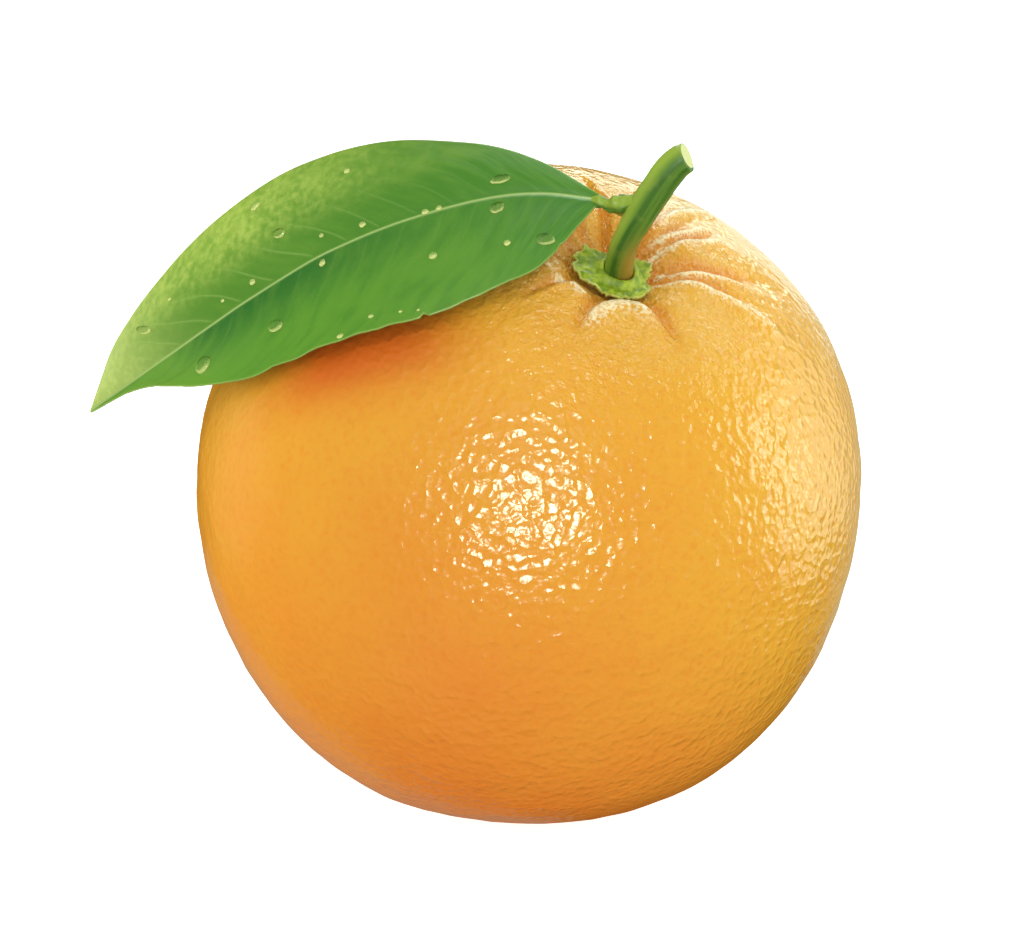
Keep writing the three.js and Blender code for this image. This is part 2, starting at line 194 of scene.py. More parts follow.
# %% Define the finish
class Finish:
    """A material with a Principled shader, built from wrapped sockets."""

    def __init__(self, name, **constants):
        self.material = bpy.data.materials.new(name)
        self.material.use_nodes = True
        self.tree = self.material.node_tree
        self.shader = self.tree.nodes["Principled BSDF"]
        for key, value in constants.items():
            self.feed(key.replace("_", " "), value)

    def node(self, kind, settings=None, inputs=None, output=0):
        """A new node of a type, with its settings and what feeds it, as its output's signal."""
        node = self.tree.nodes.new(kind)
        for key, value in (settings or {}).items():
            setattr(node, key, value)
        for key, value in (inputs or {}).items():
            self.connect(node.inputs[key], value)
        return Signal(self, node.outputs[output])

    def connect(self, socket, value):
        """Links a signal to a socket, or sets the socket to a constant."""
        if isinstance(value, Signal):
            self.tree.links.new(value.socket, socket)
        else:
            socket.default_value = value

    def feed(self, name, value):
        """Gives one of the Principled shader's sockets a signal or a constant."""
        self.connect(self.shader.inputs[name], value)

    def place(self):
        """Where on the object a point is, in metres."""
        return self.node("ShaderNodeTexCoord", output="Object")

    def part(self, vector, axis):
        """One part of a vector: X, Y or Z."""
        return self.node("ShaderNodeSeparateXYZ", None, {"Vector": vector}, axis)

    def attribute(self, name, output="Fac"):
        """What the vertices remember under a name."""
        return self.node("ShaderNodeAttribute", {"attribute_name": name}, output=output)

    def grain(self, size, detail, vector=None):
        """Soft noise whose blotches are about a size across, in the coordinate's own unit."""
        inputs = {"Vector": vector or self.place(), "Scale": 1 / size, "Detail": detail}
        return self.node("ShaderNodeTexNoise", None, inputs, "Fac")

    def cells(self, size, randomness):
        """Distance to the middle of the nearest of many cells, which are a size across."""
        inputs = {"Vector": self.place(), "Scale": 1 / size, "Randomness": randomness}
        return self.node("ShaderNodeTexVoronoi", {"feature": "F1"}, inputs, "Distance")

    def blend(self, share, first, second):
        """A colour between two, by a share from 0 to 1."""
        settings = {"data_type": "RGBA", "clamp_factor": True}
        return self.node("ShaderNodeMix", settings, {0: share, 6: first, 7: second}, 2)

    def raise_surface(self, height):
        """Feeds the shader's normal from a height in millimetres."""
        inputs = {"Height": height, "Distance": MM, "Strength": 1.0}
        self.feed("Normal", self.node("ShaderNodeBump", None, inputs))


def colour(red, green, blue):
    """An 8-bit screen colour as the linear colour that shaders use."""
    linear = []
    for level in (red / 255, green / 255, blue / 255):
        linear.append(((level + 0.055) / 1.055) ** 2.4 if level > 0.04045 else level / 12.92)
    return (*linear, 1.0)


# %% [markdown]
# ## Finishing a piece
# Each piece is shaped in millimetres and then set in metres, with its object left at the
# origin, so that patterns on object coordinates stay put. It rides on the one rigid body, and
# the plain nodes that it stands for are hidden. What a material needs to know about a place,
# such as how deep in a furrow it lies, is kept on the vertices in named layers.


# %% Define how a shape becomes a piece
def float_layers(shape, *names):
    """New named layers that keep one number on each vertex."""
    return [shape.verts.layers.float.new(name) for name in names]


def new_verts(made):
    """The vertices among what an operator made."""
    return [part for part in made["geom"] if isinstance(part, bmesh.types.BMVert)]


def finish_piece(name, shape, finish, replaced):
    """Turns a bmesh in millimetres into a named object in metres that rides on the body."""
    bmesh.ops.transform(shape, matrix=Matrix.Scale(MM, 4), verts=shape.verts)
    mesh = bpy.data.meshes.new(name)
    shape.to_mesh(mesh)
    shape.free()
    mesh.materials.append(finish.material)
    mesh.polygons.foreach_set("use_smooth", [True] * len(mesh.polygons))
    piece = bpy.data.objects.new(name, mesh)
    bpy.context.scene.collection.objects.link(piece)
    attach(piece, "root")
    if replaced:
        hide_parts(*replaced)
    mesh.calc_loop_triangles()
    print(name, "has", len(mesh.loop_triangles), "triangles")


# %% [markdown]
# ## The fruit's form
# An orange is a ball only at first sight. Broad swellings bend its outline, the dome is flatter
# round the stem, and the calyx sits in a pit from which furrows run out between soft pillows.
# The most swollen pillows end in steep crests. All of this is written as formulas in the
# fruit's own frame, whose +Z is the line from the fruit's centre to its stem, so that the plain
# model and the fine peel can follow the same form.

# %% Write down the fruit's form
LEAN_FORWARD = 22.5
LEAN_RIGHT = 16
LEAN = turned_about("Y", LEAN_RIGHT) @ turned_about("X", LEAN_FORWARD)
AXIS_TO_FRAME = Matrix.Translation(CENTRE) @ LEAN

# The pit and the collar round it are ovals, a little narrower on one side.
NARROW_SIDE = -80
HOLLOW_DEPTH, HOLLOW_RADIUS, HOLLOW_NARROWER, HOLLOW_STEEPNESS = 2.4, 6.6, 1.4, 4
COLLAR_HEIGHT, COLLAR_RADIUS, COLLAR_NARROWER, COLLAR_WIDTH = 0.9, 8.6, 1.7, 3
SHOULDER_DEPTH, SHOULDER_SPREAD = 1.1, 22  # the flatter dome round the stem
SCAR_DEPTH, SCAR_SPREAD = 0.5, 3  # the blossom scar underneath

# Azimuth round the stem, angle from it, height and spread of the broad swellings.
SWELLS = [
    (-111, 133, 0.45, 16),
    (-76, 131, -0.5, 12),
    (-35, 112, 0.3, 14),
    (33, 57, 0.5, 14),
    (-4, 85, -0.6, 14),
    (-167, 111, -0.35, 20),
    (100, 50, -0.5, 14),
    (150, 100, 0.4, 25),
    (60, 120, -0.3, 22),
    (100, 140, 0.3, 20),
]
# Azimuth, depth, reach from the axis, width, and the side on which a lip stands up beside it.
FURROWS = [
    (-111, 1.2, 14, 1.0, 0),
    (-45, 1.5, 14, 1.0, 0),
    (12, 1.3, 20, 0.7, 0),
    (27, 1.9, 24, 0.9, 0),
    (51, 1.7, 25, 0.8, 0),
    (60, 1.2, 22, 0.55, 0),
    (72, 1.4, 24, 0.7, 0),
    (87, 1.2, 22, 0.7, -1),
    (105, 1.4, 23, 0.8, -1),
    (129, 1.2, 19, 0.9, 1),
    (153, 1.3, 17, 0.9, 1),
    (180, 1.0, 15, 0.9, 1),
    (213, 1.2, 15, 1.0, 1),
]
FURROW_ROUND = 0.2  # how rounded a furrow's bottom is
FURROW_START = (3.5, 6.0)  # furrows deepen between these distances from the axis
LIP_SHARE, LIP_ASIDE, LIP_WIDTH = 0.36, 0.9, 0.5  # share of the depth; place and width in mm

# %% Write down the crests
# Height, width of the band of painted highlight in front, and places as azimuth and distance
# from the axis. The steep side of each crest is on the left of its course.
CRESTS = [
    (0.2, 0.8, [(-156, 8.5), (-146, 7.2), (-135, 6.6), (-124, 6.4), (-115, 6.6)]),
    (0.75, 1.5, [
        (-105, 11.1), (-107, 8.7), (-104, 7.5), (-97, 6.5), (-85, 5.5),
        (-69, 5.3), (-61, 6.4), (-55, 7.6), (-49, 10.5),
    ]),
    (0.6, 0.8, [
        (-3, 4.1), (5, 5.2), (4, 7.3), (3, 8.7), (5, 10.5),
        (7, 13.4), (6, 17.7), (4, 20), (0, 21.9),
    ]),
    (0.5, 0.55, [
        (31, 5.6), (26, 6.5), (21, 7.2), (18, 8.5),
        (19, 10.9), (21, 13.3), (21, 16.1), (19, 18.2),
    ]),
    (0.6, 0.8, [
        (49, 5.4), (52, 6.6), (49.5, 8.2), (48, 9.8),
        (48, 12.9), (46.5, 16), (43, 18), (38, 19.3),
    ]),
    (0.4, 0.55, [(65, 7.8), (59, 8.9), (56, 11), (54.5, 16.5), (51.5, 19.3), (47.5, 21)]),
    (0.4, 0.5, [(71, 11.1), (68, 15.6), (65, 18.6), (62, 22.4), (60, 25.5)]),
]
CREST_FRONT, CREST_BACK = 1.4, 0.5  # how far the gentle and the steep side reach
CREST_REACH = 3 * CREST_FRONT
CREST_STEPS = 60
CREST_STRIDE = 0.02  # share of the course over which its heading is measured
CREST_STARTS, CREST_ENDS = (0, 0.12), (0.7, 1)  # shares over which it grows and fades
print(len(FURROWS), "furrows and", len(CRESTS), "crests")


# %% Define the peel's surface
def direction(polar, azimuth):
    """The way that an angle off the stem's axis and an azimuth round it point."""
    out = math.sin(polar)
    return Vector((out * math.cos(azimuth), out * math.sin(azimuth), math.cos(polar)))


def seen_from_top(out, azimuth):
    """The place at a distance from the axis and an azimuth, laid flat."""
    return Vector((math.cos(azimuth), math.sin(azimuth), 0)) * out


SWELL_WAYS = [
    (
        direction(math.radians(polar), math.radians(azimuth)),
        height,
        math.radians(spread) * math.sqrt(2),
    )
    for azimuth, polar, height, spread in SWELLS
]


def furrow_relief(out, azimuth):
    """How far the furrows press the peel in, and how far their lips stand up."""
    pressed = lip = 0
    for towards, deepest, reach, width, side in FURROWS:
        if not FURROW_START[0] < out < reach:
            continue
        turn = azimuth - math.radians(towards)
        aside = out * math.atan2(math.sin(turn), math.cos(turn))
        ends = 1 - smoothstep(reach / 2, reach, out)
        depth = deepest * smoothstep(*FURROW_START, out) * ends
        pressed += depth * math.exp(-math.hypot(aside, FURROW_ROUND) / width)
        lip += LIP_SHARE * depth * gaussian(aside * side - LIP_ASIDE, LIP_WIDTH)
    return pressed, lip


def crest_tree(rows):
    """A search tree of places along a crest, with its heading and share of height at each."""
    points = [seen_from_top(out, math.radians(turn)) for turn, out in rows]
    tree = kdtree.KDTree(CREST_STEPS + 1)
    ways = []
    for k in range(CREST_STEPS + 1):
        share = k / CREST_STEPS
        tree.insert(run_through(points, share), k)
        ahead = run_through(points, share + CREST_STRIDE)
        ahead -= run_through(points, share - CREST_STRIDE)
        fade = smoothstep(*CREST_STARTS, share) * (1 - smoothstep(*CREST_ENDS, share))
        ways.append((ahead.normalized(), fade))
    tree.balance()
    return tree, ways


CREST_TREES = [(*crest_tree(rows), height, highlight_band) for height, highlight_band, rows in CRESTS]


def crest_relief(out, azimuth):
    """How far the crests raise the peel, and the share of painted highlight on it."""
    spot = seen_from_top(out, azimuth)
    raised = crest_highlight = 0
    for tree, ways, height, highlight_band in CREST_TREES:
        nearest, k, far = tree.find(spot)
        ahead, fade = ways[k]
        if fade == 0 or far > CREST_REACH:
            continue
        behind = math.copysign(far, ahead.cross(spot - nearest).z)
        raised += height * fade * gaussian(behind, CREST_BACK if behind > 0 else CREST_FRONT)
        crest_highlight = max(crest_highlight, fade * gaussian(behind, CREST_BACK if behind > 0 else highlight_band))
    return raised, crest_highlight


def peel_radius(polar, azimuth):
    """The distance from the fruit's centre to its peel."""
    out = FRUIT_RADIUS * math.sin(polar)
    way = direction(polar, azimuth)
    radius = FRUIT_RADIUS
    for towards, height, spread in SWELL_WAYS:
        radius += height * gaussian(way.angle(towards), spread)
    if polar > math.pi / 2:
        return radius - SCAR_DEPTH * gaussian(out, SCAR_SPREAD)
    narrowing = math.cos(azimuth - math.radians(NARROW_SIDE))
    wall = out / (HOLLOW_RADIUS - HOLLOW_NARROWER * narrowing)
    hollow = HOLLOW_DEPTH * math.exp(-(wall**HOLLOW_STEEPNESS))
    shoulder = SHOULDER_DEPTH * gaussian(out, SHOULDER_SPREAD)
    off_collar = out - COLLAR_RADIUS + COLLAR_NARROWER * narrowing
    collar = COLLAR_HEIGHT * gaussian(off_collar, COLLAR_WIDTH)
    return radius - hollow - shoulder + collar - furrow_relief(out, azimuth)[0]


# %% [markdown]
# ## The leaf's form
# The blade is stretched between three smooth curves: its midrib and its two edges. Any place on
# it is a share of the way along and a share of the way across, so that the rows of a flat grid
# laid over it follow the leaf. It is written down before the peel is made, because the leaf
# hangs close over the peel and shades it.

# %% Write down the leaf's form
LEAF_BASE = Vector((7.2, -16.4, 43))
LEAF_HEADING, LEAF_DROOP, LEAF_ROLL = 163, 28, -42
LEAF_TO_FRAME = (
    Matrix.Translation(CENTRE + LEAF_BASE)
    @ turned_about("Z", LEAF_HEADING)
    @ turned_about("Y", LEAF_DROOP)
    @ turned_about("X", LEAF_ROLL)
)
LEAF_MIDRIB = vectors([
    (0, 0, 0),
    (5.2, -1.4, 3),
    (11, -2, 5.3),
    (20.4, -1.9, 7.4),
    (30.5, -1.6, 8),
    (41.4, -0.7, 7),
    (53.3, -0.1, 4.5),
    (61.8, 0.1, 2.4),
    (70.6, 0.1, 0),
])
LEAF_FAR_EDGE = vectors([
    (-0.2, -0.7, 0),
    (5.2, -6, 2.5),
    (11.9, -10.2, 4.5),
    (23.4, -14.1, 6.9),
    (35.6, -14.6, 8),
    (47.2, -12.3, 7.3),
    (57.7, -8.5, 5.2),
    (64.5, -4.8, 3.2),
    (70.6, 0.0, 0),
])
LEAF_NEAR_EDGE = vectors([
    (0.2, 0.7, 0),
    (6.5, 6.5, 1.8),
    (10.8, 9, 4.5),
    (17.4, 11.2, 7.3),
    (25.3, 11.2, 9),
    (35.3, 10.6, 8.4),
    (48.9, 7.2, 5.6),
    (59.9, 2.5, 3.6),
    (70.6, 0.2, 0),
])
LEAF_CROWN = {"far": 0.9, "near": -0.5}  # how far each half bulges up
LEAF_WAVES = 15
LEAF_WAVE_DEPTH = {"far": 0.02, "near": 0.16}
WAVE_STEADY, WAVE_VARIES, WAVE_CHANGES = 0.3, 1.4, 7  # how unevenly the waves come
WAVE_REACH = 4  # the higher, the closer to the edge the waves stay
# Where the near margin swells or draws in: share along the leaf, spread and how far outwards.
LEAF_SWELLS = [(0.7, 0.035, 0.6), (0.585, 0.04, -0.5)]
# Small nicks in the near margin: their depth, how closely they come, and how rare they are.
NICK_DEPTH, NICK_CLOSENESS, NICK_RARITY = 1.1, 42, 0.25
LEAF_EDGE_THICKNESS, LEAF_RIB_THICKNESS = 0.16, 1.0
RIB_TAPER, RIB_SPREAD = 0.6, 0.8
RIB_RIDGE, RIB_RIDGE_SPREAD, RIB_GROOVE = 0.12, 0.2, 0.14
VEIN_SPACING = 0.057  # along the leaf, as a share of its length
VEIN_SWEEP, VEIN_CURVE, VEIN_WANDER = 0.12, 0.06, 0.012
WANDER_ALONG, WANDER_ACROSS = 9, 2  # how often the veins wander
VEIN_FAR_SHIFT = 0.4  # how far the far side's veins start from the near side's
VEIN_RELIEF, VEIN_HOLLOW = 0.05, (0.0, 0.9)
RIB_CLEAR, EDGE_CLEAR = (0.5, 3), (0.6, 4)  # veins grow over these distances from both
print("the leaf is", LEAF_MIDRIB[-1].x, "mm long")


# %% Define the leaf's surface
def leaf_point(along, across):
    """A point of the smooth upper face, and how far it is from the midrib and the edge."""
    side = "far" if across < 0 else "near"
    share = abs(across)
    rib = run_through(LEAF_MIDRIB, along)
    edge = run_through(LEAF_FAR_EDGE if across < 0 else LEAF_NEAR_EDGE, along)
    outwards = edge - rib
    width = outwards.length
    fullness = math.sqrt(max(math.sin(math.pi * along), 0))
    changing = WAVE_STEADY + WAVE_VARIES * unevenness(WAVE_CHANGES * along, 3, 0)
    ripple = math.sin(2 * math.pi * LEAF_WAVES * along) * changing
    wave = LEAF_WAVE_DEPTH[side] * ripple * fullness
    if side == "near":
        wave += sum(
            swell * gaussian(along - middle, spread) for middle, spread, swell in LEAF_SWELLS
        )
        nick = unevenness(NICK_CLOSENESS * along, 11, 0) - NICK_RARITY
        wave -= NICK_DEPTH * max(0, nick)
    point = rib + outwards * (share + wave * share**WAVE_REACH / max(width, 1))
    point.z += 4 * LEAF_CROWN[side] * share * (1 - share) * fullness
    return point, width * share, width * (1 - share)


def vein_phase(along, across):
    """A number that grows by 1 from each side vein to the next. Veins sweep to the tip."""
    share = abs(across)
    swept = along - VEIN_SWEEP * share - VEIN_CURVE * share**2
    bent = VEIN_WANDER * unevenness(along * WANDER_ALONG, across * WANDER_ACROSS, 5)
    return (swept + bent) / VEIN_SPACING + (VEIN_FAR_SHIFT if across < 0 else 0.0)


def vein_relief(along, across, from_rib, from_edge):
    """How the ribs and veins lift (+) or sink (-) the upper face, in millimetres."""
    taper = 1 - RIB_TAPER * along
    rib = RIB_RIDGE * taper * gaussian(from_rib, RIB_RIDGE_SPREAD)
    rib -= RIB_GROOVE * taper * gaussian(from_rib, RIB_SPREAD)
    phase = vein_phase(along, across)
    off_vein = abs(phase - math.floor(phase) - 0.5) * 2  # 0 on a vein, 1 half-way between
    fade = smoothstep(*RIB_CLEAR, from_rib) * smoothstep(*EDGE_CLEAR, from_edge)
    return rib + fade * VEIN_RELIEF * (smoothstep(*VEIN_HOLLOW, off_vein) - 0.5)


# %% [markdown]
# ## The peel
# A flat grid is wrapped round a ball like a map round a globe, its points are set in or out
# along their own directions, and its seam and poles are then merged. A remeshed or subdivided
# sphere would do too, but the wrapped grid lets the rings crowd together at the stem, where the
# detail is. The fine peel adds what the plain fruit leaves out: the crests, a faint unevenness
# a few millimetres across, and the small nipple in the blossom scar underneath. Each point
# remembers how deep in a furrow it lies, how near the stem, how much painted highlight it
# carries along a crest and how close it lies to the leaf's margin, because painted light and
# shade go there: painted shade in the furrows and below the leaf's margin, painted light on the
# pillows round the stem and painted highlight along the crests.

# %% Shape the peel
PEEL_SIDES = 360
PEEL_RINGS = 270
RING_CROWDING = 0.55  # rings lie closer together at the stem, where the furrows are
PEEL_INSET = 0.08  # leaves room for the unevenness inside the plain fruit's outline
UNEVEN_HEIGHT, UNEVEN_SIZE = 0.12, 5.0
RIPPLE_HEIGHT, RIPPLE_SIZE = 0.05, 1.9
NIPPLE_HEIGHT, NIPPLE_SPREAD = 0.45, 0.9
# The stretch of the leaf's near margin that hangs close over the peel, where its painted shade
# is deepest, how far it reaches, and the shares of the stretch over which it grows and fades.
SHADE_FROM, SHADE_TO, SHADE_STEPS = 0.2, 0.74, 60
SHADE_REACH, SHADE_PEAK = 4.0, 2.0
SHADE_STARTS, SHADE_ENDS = (0.1, 0.5), (0.7, 1)
MERGE_DISTANCE = 0.001


def margin_tree():
    """A search tree of places along the leaf's near margin."""
    tree = kdtree.KDTree(SHADE_STEPS + 1)
    for k in range(SHADE_STEPS + 1):
        along = SHADE_FROM + (SHADE_TO - SHADE_FROM) * k / SHADE_STEPS
        tree.insert(LEAF_TO_FRAME @ leaf_point(along, 1)[0], k)
    tree.balance()
    return tree


def leaf_shade(place, margin):
    """How deep the leaf's painted shade is at a place on the peel."""
    _, step, away = margin.find(place)
    share = step / SHADE_STEPS
    ends = 1 - smoothstep(*SHADE_ENDS, share)
    return gaussian(away - SHADE_PEAK, SHADE_REACH) * smoothstep(*SHADE_STARTS, share) * ends


def shape_peel():
    """The whole peel as one closed shape, with what its colour needs to know."""
    margin = margin_tree()
    shape = bmesh.new()
    bmesh.ops.create_grid(shape, x_segments=PEEL_SIDES, y_segments=PEEL_RINGS, size=1)
    names = ("furrow", "stem_end", "crest_highlight", "leaf_shade")
    furrow_layer, stem_layer, crest_highlight_layer, shade_layer = float_layers(shape, *names)
    for vert in shape.verts:
        azimuth = math.pi * vert.co.x
        down = (1 - vert.co.y) / 2
        polar = math.pi * down * (RING_CROWDING + (1 - RING_CROWDING) * down)
        way = direction(polar, azimuth)
        out = FRUIT_RADIUS * math.sin(polar)
        radius = peel_radius(polar, azimuth) - PEEL_INSET
        radius += UNEVEN_HEIGHT * noise.noise(way * (FRUIT_RADIUS / UNEVEN_SIZE))
        radius += RIPPLE_HEIGHT * noise.noise(way * (FRUIT_RADIUS / RIPPLE_SIZE))
        if polar > math.pi / 2:
            radius += NIPPLE_HEIGHT * gaussian(out, NIPPLE_SPREAD)
        else:
            vert[furrow_layer], lip = furrow_relief(out, azimuth)
            vert[stem_layer] = gaussian(out, SHOULDER_SPREAD)
            crest, vert[crest_highlight_layer] = crest_relief(out, azimuth)
            radius += lip + crest
        vert.co = AXIS_TO_FRAME @ (way * radius)
        vert.co.z = max(vert.co.z, 0)
        vert[shade_layer] = leaf_shade(vert.co, margin)
    bmesh.ops.remove_doubles(shape, verts=shape.verts, dist=MERGE_DISTANCE)
    bmesh.ops.recalc_face_normals(shape, faces=shape.faces)
    return shape


# %% [markdown]
# ## The peel's finish
# Orange peel is glossy wax over thousands of small oil glands. Each gland is a shallow dimple
# about a millimetre from the next, so a lamp's reflection breaks into short bright strokes. A
# Voronoi pattern would give only even rows of pits, so soft noise is laid over it, and both are
# stronger on the side that grew in the sun. The colour runs from a redder orange to a yellower
# one towards the stem, to the right and on the flanks, which is painted light broken by
# random blotches of the fruit's own tone. Over it lie deeper dots at the glands, painted shade
# in the furrows with painted light on the pillows between them, a redder painted shade below
# the leaf's near margin, and painted highlights: pale flecks round the stem, and specks that
# gather into a cream band along the crests. A little light passes under the surface.

# %% Choose the peel's colours and relief
GLAND_PITCH, GLAND_DISORDER = 1.25 * MM, 0.9
SWIRL_HEIGHT, DIMPLE_HEIGHT, ROLL_HEIGHT, BLOOM_HEIGHT = 0.19, 0.17, 0.15, 0.46
RED_ORANGE, YELLOW_ORANGE = colour(225, 127, 39), colour(229, 174, 51)
GLAND_ORANGE, FURROW_SHADE_ORANGE = colour(222, 116, 28), colour(224, 118, 26)
PILLOW_LIGHT_YELLOW, SHADED_RED = colour(238, 180, 58), colour(213, 84, 24)
HIGHLIGHT_FLECK_CREAM, CREST_HIGHLIGHT_CREAM = colour(248, 212, 120), colour(251, 231, 178)
# Painted light: the colour turns yellow to the right and upwards, per metre, and on both
# flanks, per square metre, and starts to turn a little above 0.
YELLOWING = (7.5, 0.0, 13.3)
FLANK_YELLOWING, YELLOWING_START = 325, 0.15


# %% Make the peel's finish
def peel_finish():
    """Glossy orange peel with glands, furrows, painted shade and painted highlights."""
    peel = Finish(
        "orange_peel",
        Roughness=0.215,
        Specular_IOR_Level=0.8,
        Subsurface_Weight=0.12,
        Subsurface_Radius=(1.0, 0.4, 0.1),
        Subsurface_Scale=0.003,
    )
    place = peel.place()
    aside, above = peel.part(place, "X"), peel.part(place, "Z")
    gland = peel.cells(GLAND_PITCH, GLAND_DISORDER)
    swirl = peel.grain(0.78 * MM, 0.5)
    roll = peel.grain(3.2 * MM, 1.0)
    blotch = peel.grain(16 * MM, 3.0)
    freckle = peel.grain(0.9 * MM, 3.0)
    bloom = peel.grain(0.4 * MM, 2.0)
    furrow = peel.attribute("furrow")
    stem_end = peel.attribute("stem_end")
    crest_highlight = peel.attribute("crest_highlight")

    sunny = 0.25 + aside.rise(-0.036, -0.006) * above.rise(0.0, 0.03) * 0.75
    rougher = 1 + stem_end.rise(0.5, 0.85) * 0.6
    dimpled = (swirl * SWIRL_HEIGHT + gland * gland * DIMPLE_HEIGHT) * rougher
    relief = (dimpled + roll * ROLL_HEIGHT) * sunny
    peel.raise_surface(relief + stem_end.rise(0.3, 0.95) * bloom * BLOOM_HEIGHT)

    # Painted light: yellower upwards, to the right and on the flanks; the blotches are the
    # fruit's own random tone.
    ways = {0: place, 1: YELLOWING}
    yellowing = peel.node("ShaderNodeVectorMath", {"operation": "DOT_PRODUCT"}, ways, "Value")
    lit_yellowing = yellowing + aside * aside * FLANK_YELLOWING - YELLOWING_START
    lit_tone = peel.blend(lit_yellowing + (blotch - 0.5) * 0.5, RED_ORANGE, YELLOW_ORANGE)
    dots = gland.bell(0.3) * 0.18 + freckle.rise(0.5, 0.75) * 0.22
    dotted = peel.blend(dots, lit_tone, GLAND_ORANGE)
    # Painted light and shade: the pillows round the stem turn yellower, the furrows a deeper
    # orange.
    lit_pillows = stem_end * (1 - furrow.rise(0.0, 0.6))
    pillow_lit = peel.blend(lit_pillows * 0.3, dotted, PILLOW_LIGHT_YELLOW)
    furrow_shaded = peel.blend(furrow.rise(0.1, 1.1) * 0.45, pillow_lit, FURROW_SHADE_ORANGE)
    # Painted shade: a redder, darker tone below the leaf's near margin.
    shaded = peel.blend(peel.attribute("leaf_shade") * 0.85, furrow_shaded, SHADED_RED)
    # Painted highlight: pale flecks round the stem stand in for a lamp's reflection on the fine
    # relief.
    highlight_flecks = stem_end.rise(0.6, 0.95) * bloom.rise(0.5, 0.7)
    highlight_flecked = peel.blend(highlight_flecks * 0.35, shaded, HIGHLIGHT_FLECK_CREAM)
    # Painted highlight: specks and a cream band along each crest stand in for a lamp's
    # reflection.
    highlight_specks = bloom.rise(0.44, 0.56) * crest_highlight.rise(0.02, 0.6)
    crest_highlighted = peel.blend(crest_highlight.rise(0.6, 0.95) * 0.55 + highlight_specks * 0.75, highlight_flecked, CREST_HIGHLIGHT_CREAM)
    peel.feed("Base Color", crest_highlighted)
    return peel


finish_piece("peel_skin", shape_peel(), peel_finish(), ["fruit"])

# %% [markdown]
# ## The leaf's blade
# A real blade is thin, arched and waved, and its midrib stands out below. A flat grid takes its
# place on the leaf's form, the ribs and veins are raised or sunk in it, and the whole face is
# then extruded and moved down for the thickness. That is surer than a Solidify modifier,
# because the rib's own thickness and the thin rim can be written down.

# %% Shape the leaf
LEAF_LENGTHWISE = 260
LEAF_CROSSWISE = 96
RIB_CROWDING = 1.25  # lengthwise rows lie closer together at the midrib
BLADE_ROUGHNESS, BLADE_ROUGH_SIZE = 0.1, Vector((6, 4))
RIM_WIDTH = 2.5  # the blade thins towards its rim over this width


def shape_leaf():
    """The blade with its ribs, waves and both faces."""
    shape = bmesh.new()
    bmesh.ops.create_grid(
        shape, x_segments=LEAF_LENGTHWISE, y_segments=LEAF_CROSSWISE, size=1
    )
    layers = float_layers(shape, "along", "aside", "to_edge", "vein", "under")
    for vert in shape.verts:
        along, across = (vert.co.x + 1) / 2, vert.co.y
        across = math.copysign(abs(across) ** RIB_CROWDING, across)
        point, from_rib, from_edge = leaf_point(along, across)
        relief = vein_relief(along, across, from_rib, from_edge)
        size = BLADE_ROUGH_SIZE
        rough = BLADE_ROUGHNESS * unevenness(point.x / size.x, point.y / size.y, 0)
        vert.co = point + Vector((0, 0, relief + rough))
        aside = math.copysign(from_rib, across)
        values = (along, aside, from_edge, vein_phase(along, across), 0)
        for layer, value in zip(layers, values):
            vert[layer] = value
    shape.normal_update()
    if sum(face.normal.z for face in shape.faces) < 0:
        bmesh.ops.reverse_faces(shape, faces=shape.faces)
    thicken_leaf(shape, layers)
    bmesh.ops.transform(shape, matrix=LEAF_TO_FRAME, verts=shape.verts)
    return shape


def thicken_leaf(shape, layers):
    """Gives the blade its lower face, with the midrib standing out of it."""
    along_layer, aside_layer, edge_layer, _, under_layer = layers
    shape.normal_update()
    normals = {tuple(vert.co): vert.normal.copy() for vert in shape.verts}
    made = bmesh.ops.extrude_face_region(shape, geom=list(shape.faces))
    for vert in new_verts(made):
        taper = 1 - RIB_TAPER * vert[along_layer]
        inner = smoothstep(0, RIM_WIDTH, vert[edge_layer])
        rib = (LEAF_RIB_THICKNESS - LEAF_EDGE_THICKNESS) * taper
        thickness = LEAF_EDGE_THICKNESS * (1 + inner)
        thickness += rib * gaussian(abs(vert[aside_layer]), RIB_SPREAD) * inner
        vert.co = vert.co - normals[tuple(vert.co)] * thickness
        vert[under_layer] = 1
    bmesh.ops.recalc_face_normals(shape, faces=shape.faces)


# %% [markdown]
# ## The leaf's finish
# A citrus leaf is leathery and waxed above, so it shines, and paler and duller below. The
# midrib is a pale green line, the side veins are faint, and the rim is a thin pale line that
# light shines through. The far half is mottled towards its rim and grows lighter there, which
# is a painted sheen; the near half is darker along the midrib, which is a painted shade; and
# both grow yellower towards the tip. Object coordinates alone would be simpler, but their
# stripes would cut straight across the arched blade. So the colour follows what the vertices
# remember: how far along the leaf they lie, how far from its midrib and its rim, and between
# which veins.

# %% Choose the leaf's colours
NEAR_GREEN, MIDRIB_SHADE = colour(90, 148, 40), colour(48, 112, 38)
NEAR_TIP, NEAR_BASE = colour(116, 166, 52), colour(44, 118, 30)
FAR_GREEN, FAR_BASE = colour(84, 136, 38), colour(54, 126, 30)
LIGHT_STREAK, DARK_STREAK = colour(110, 158, 46), colour(56, 118, 38)
PALE_PATCH_AND_SHEEN, MOTTLE = colour(150, 184, 66), colour(190, 210, 96)
TIP_YELLOW, VEIN_GREEN = colour(200, 216, 116), colour(158, 192, 96)
RIM_GREEN, RIB_GREEN = colour(172, 202, 96), colour(176, 202, 118)
UNDERSIDE, UNDER_VEIN = colour(122, 158, 78), colour(170, 190, 114)


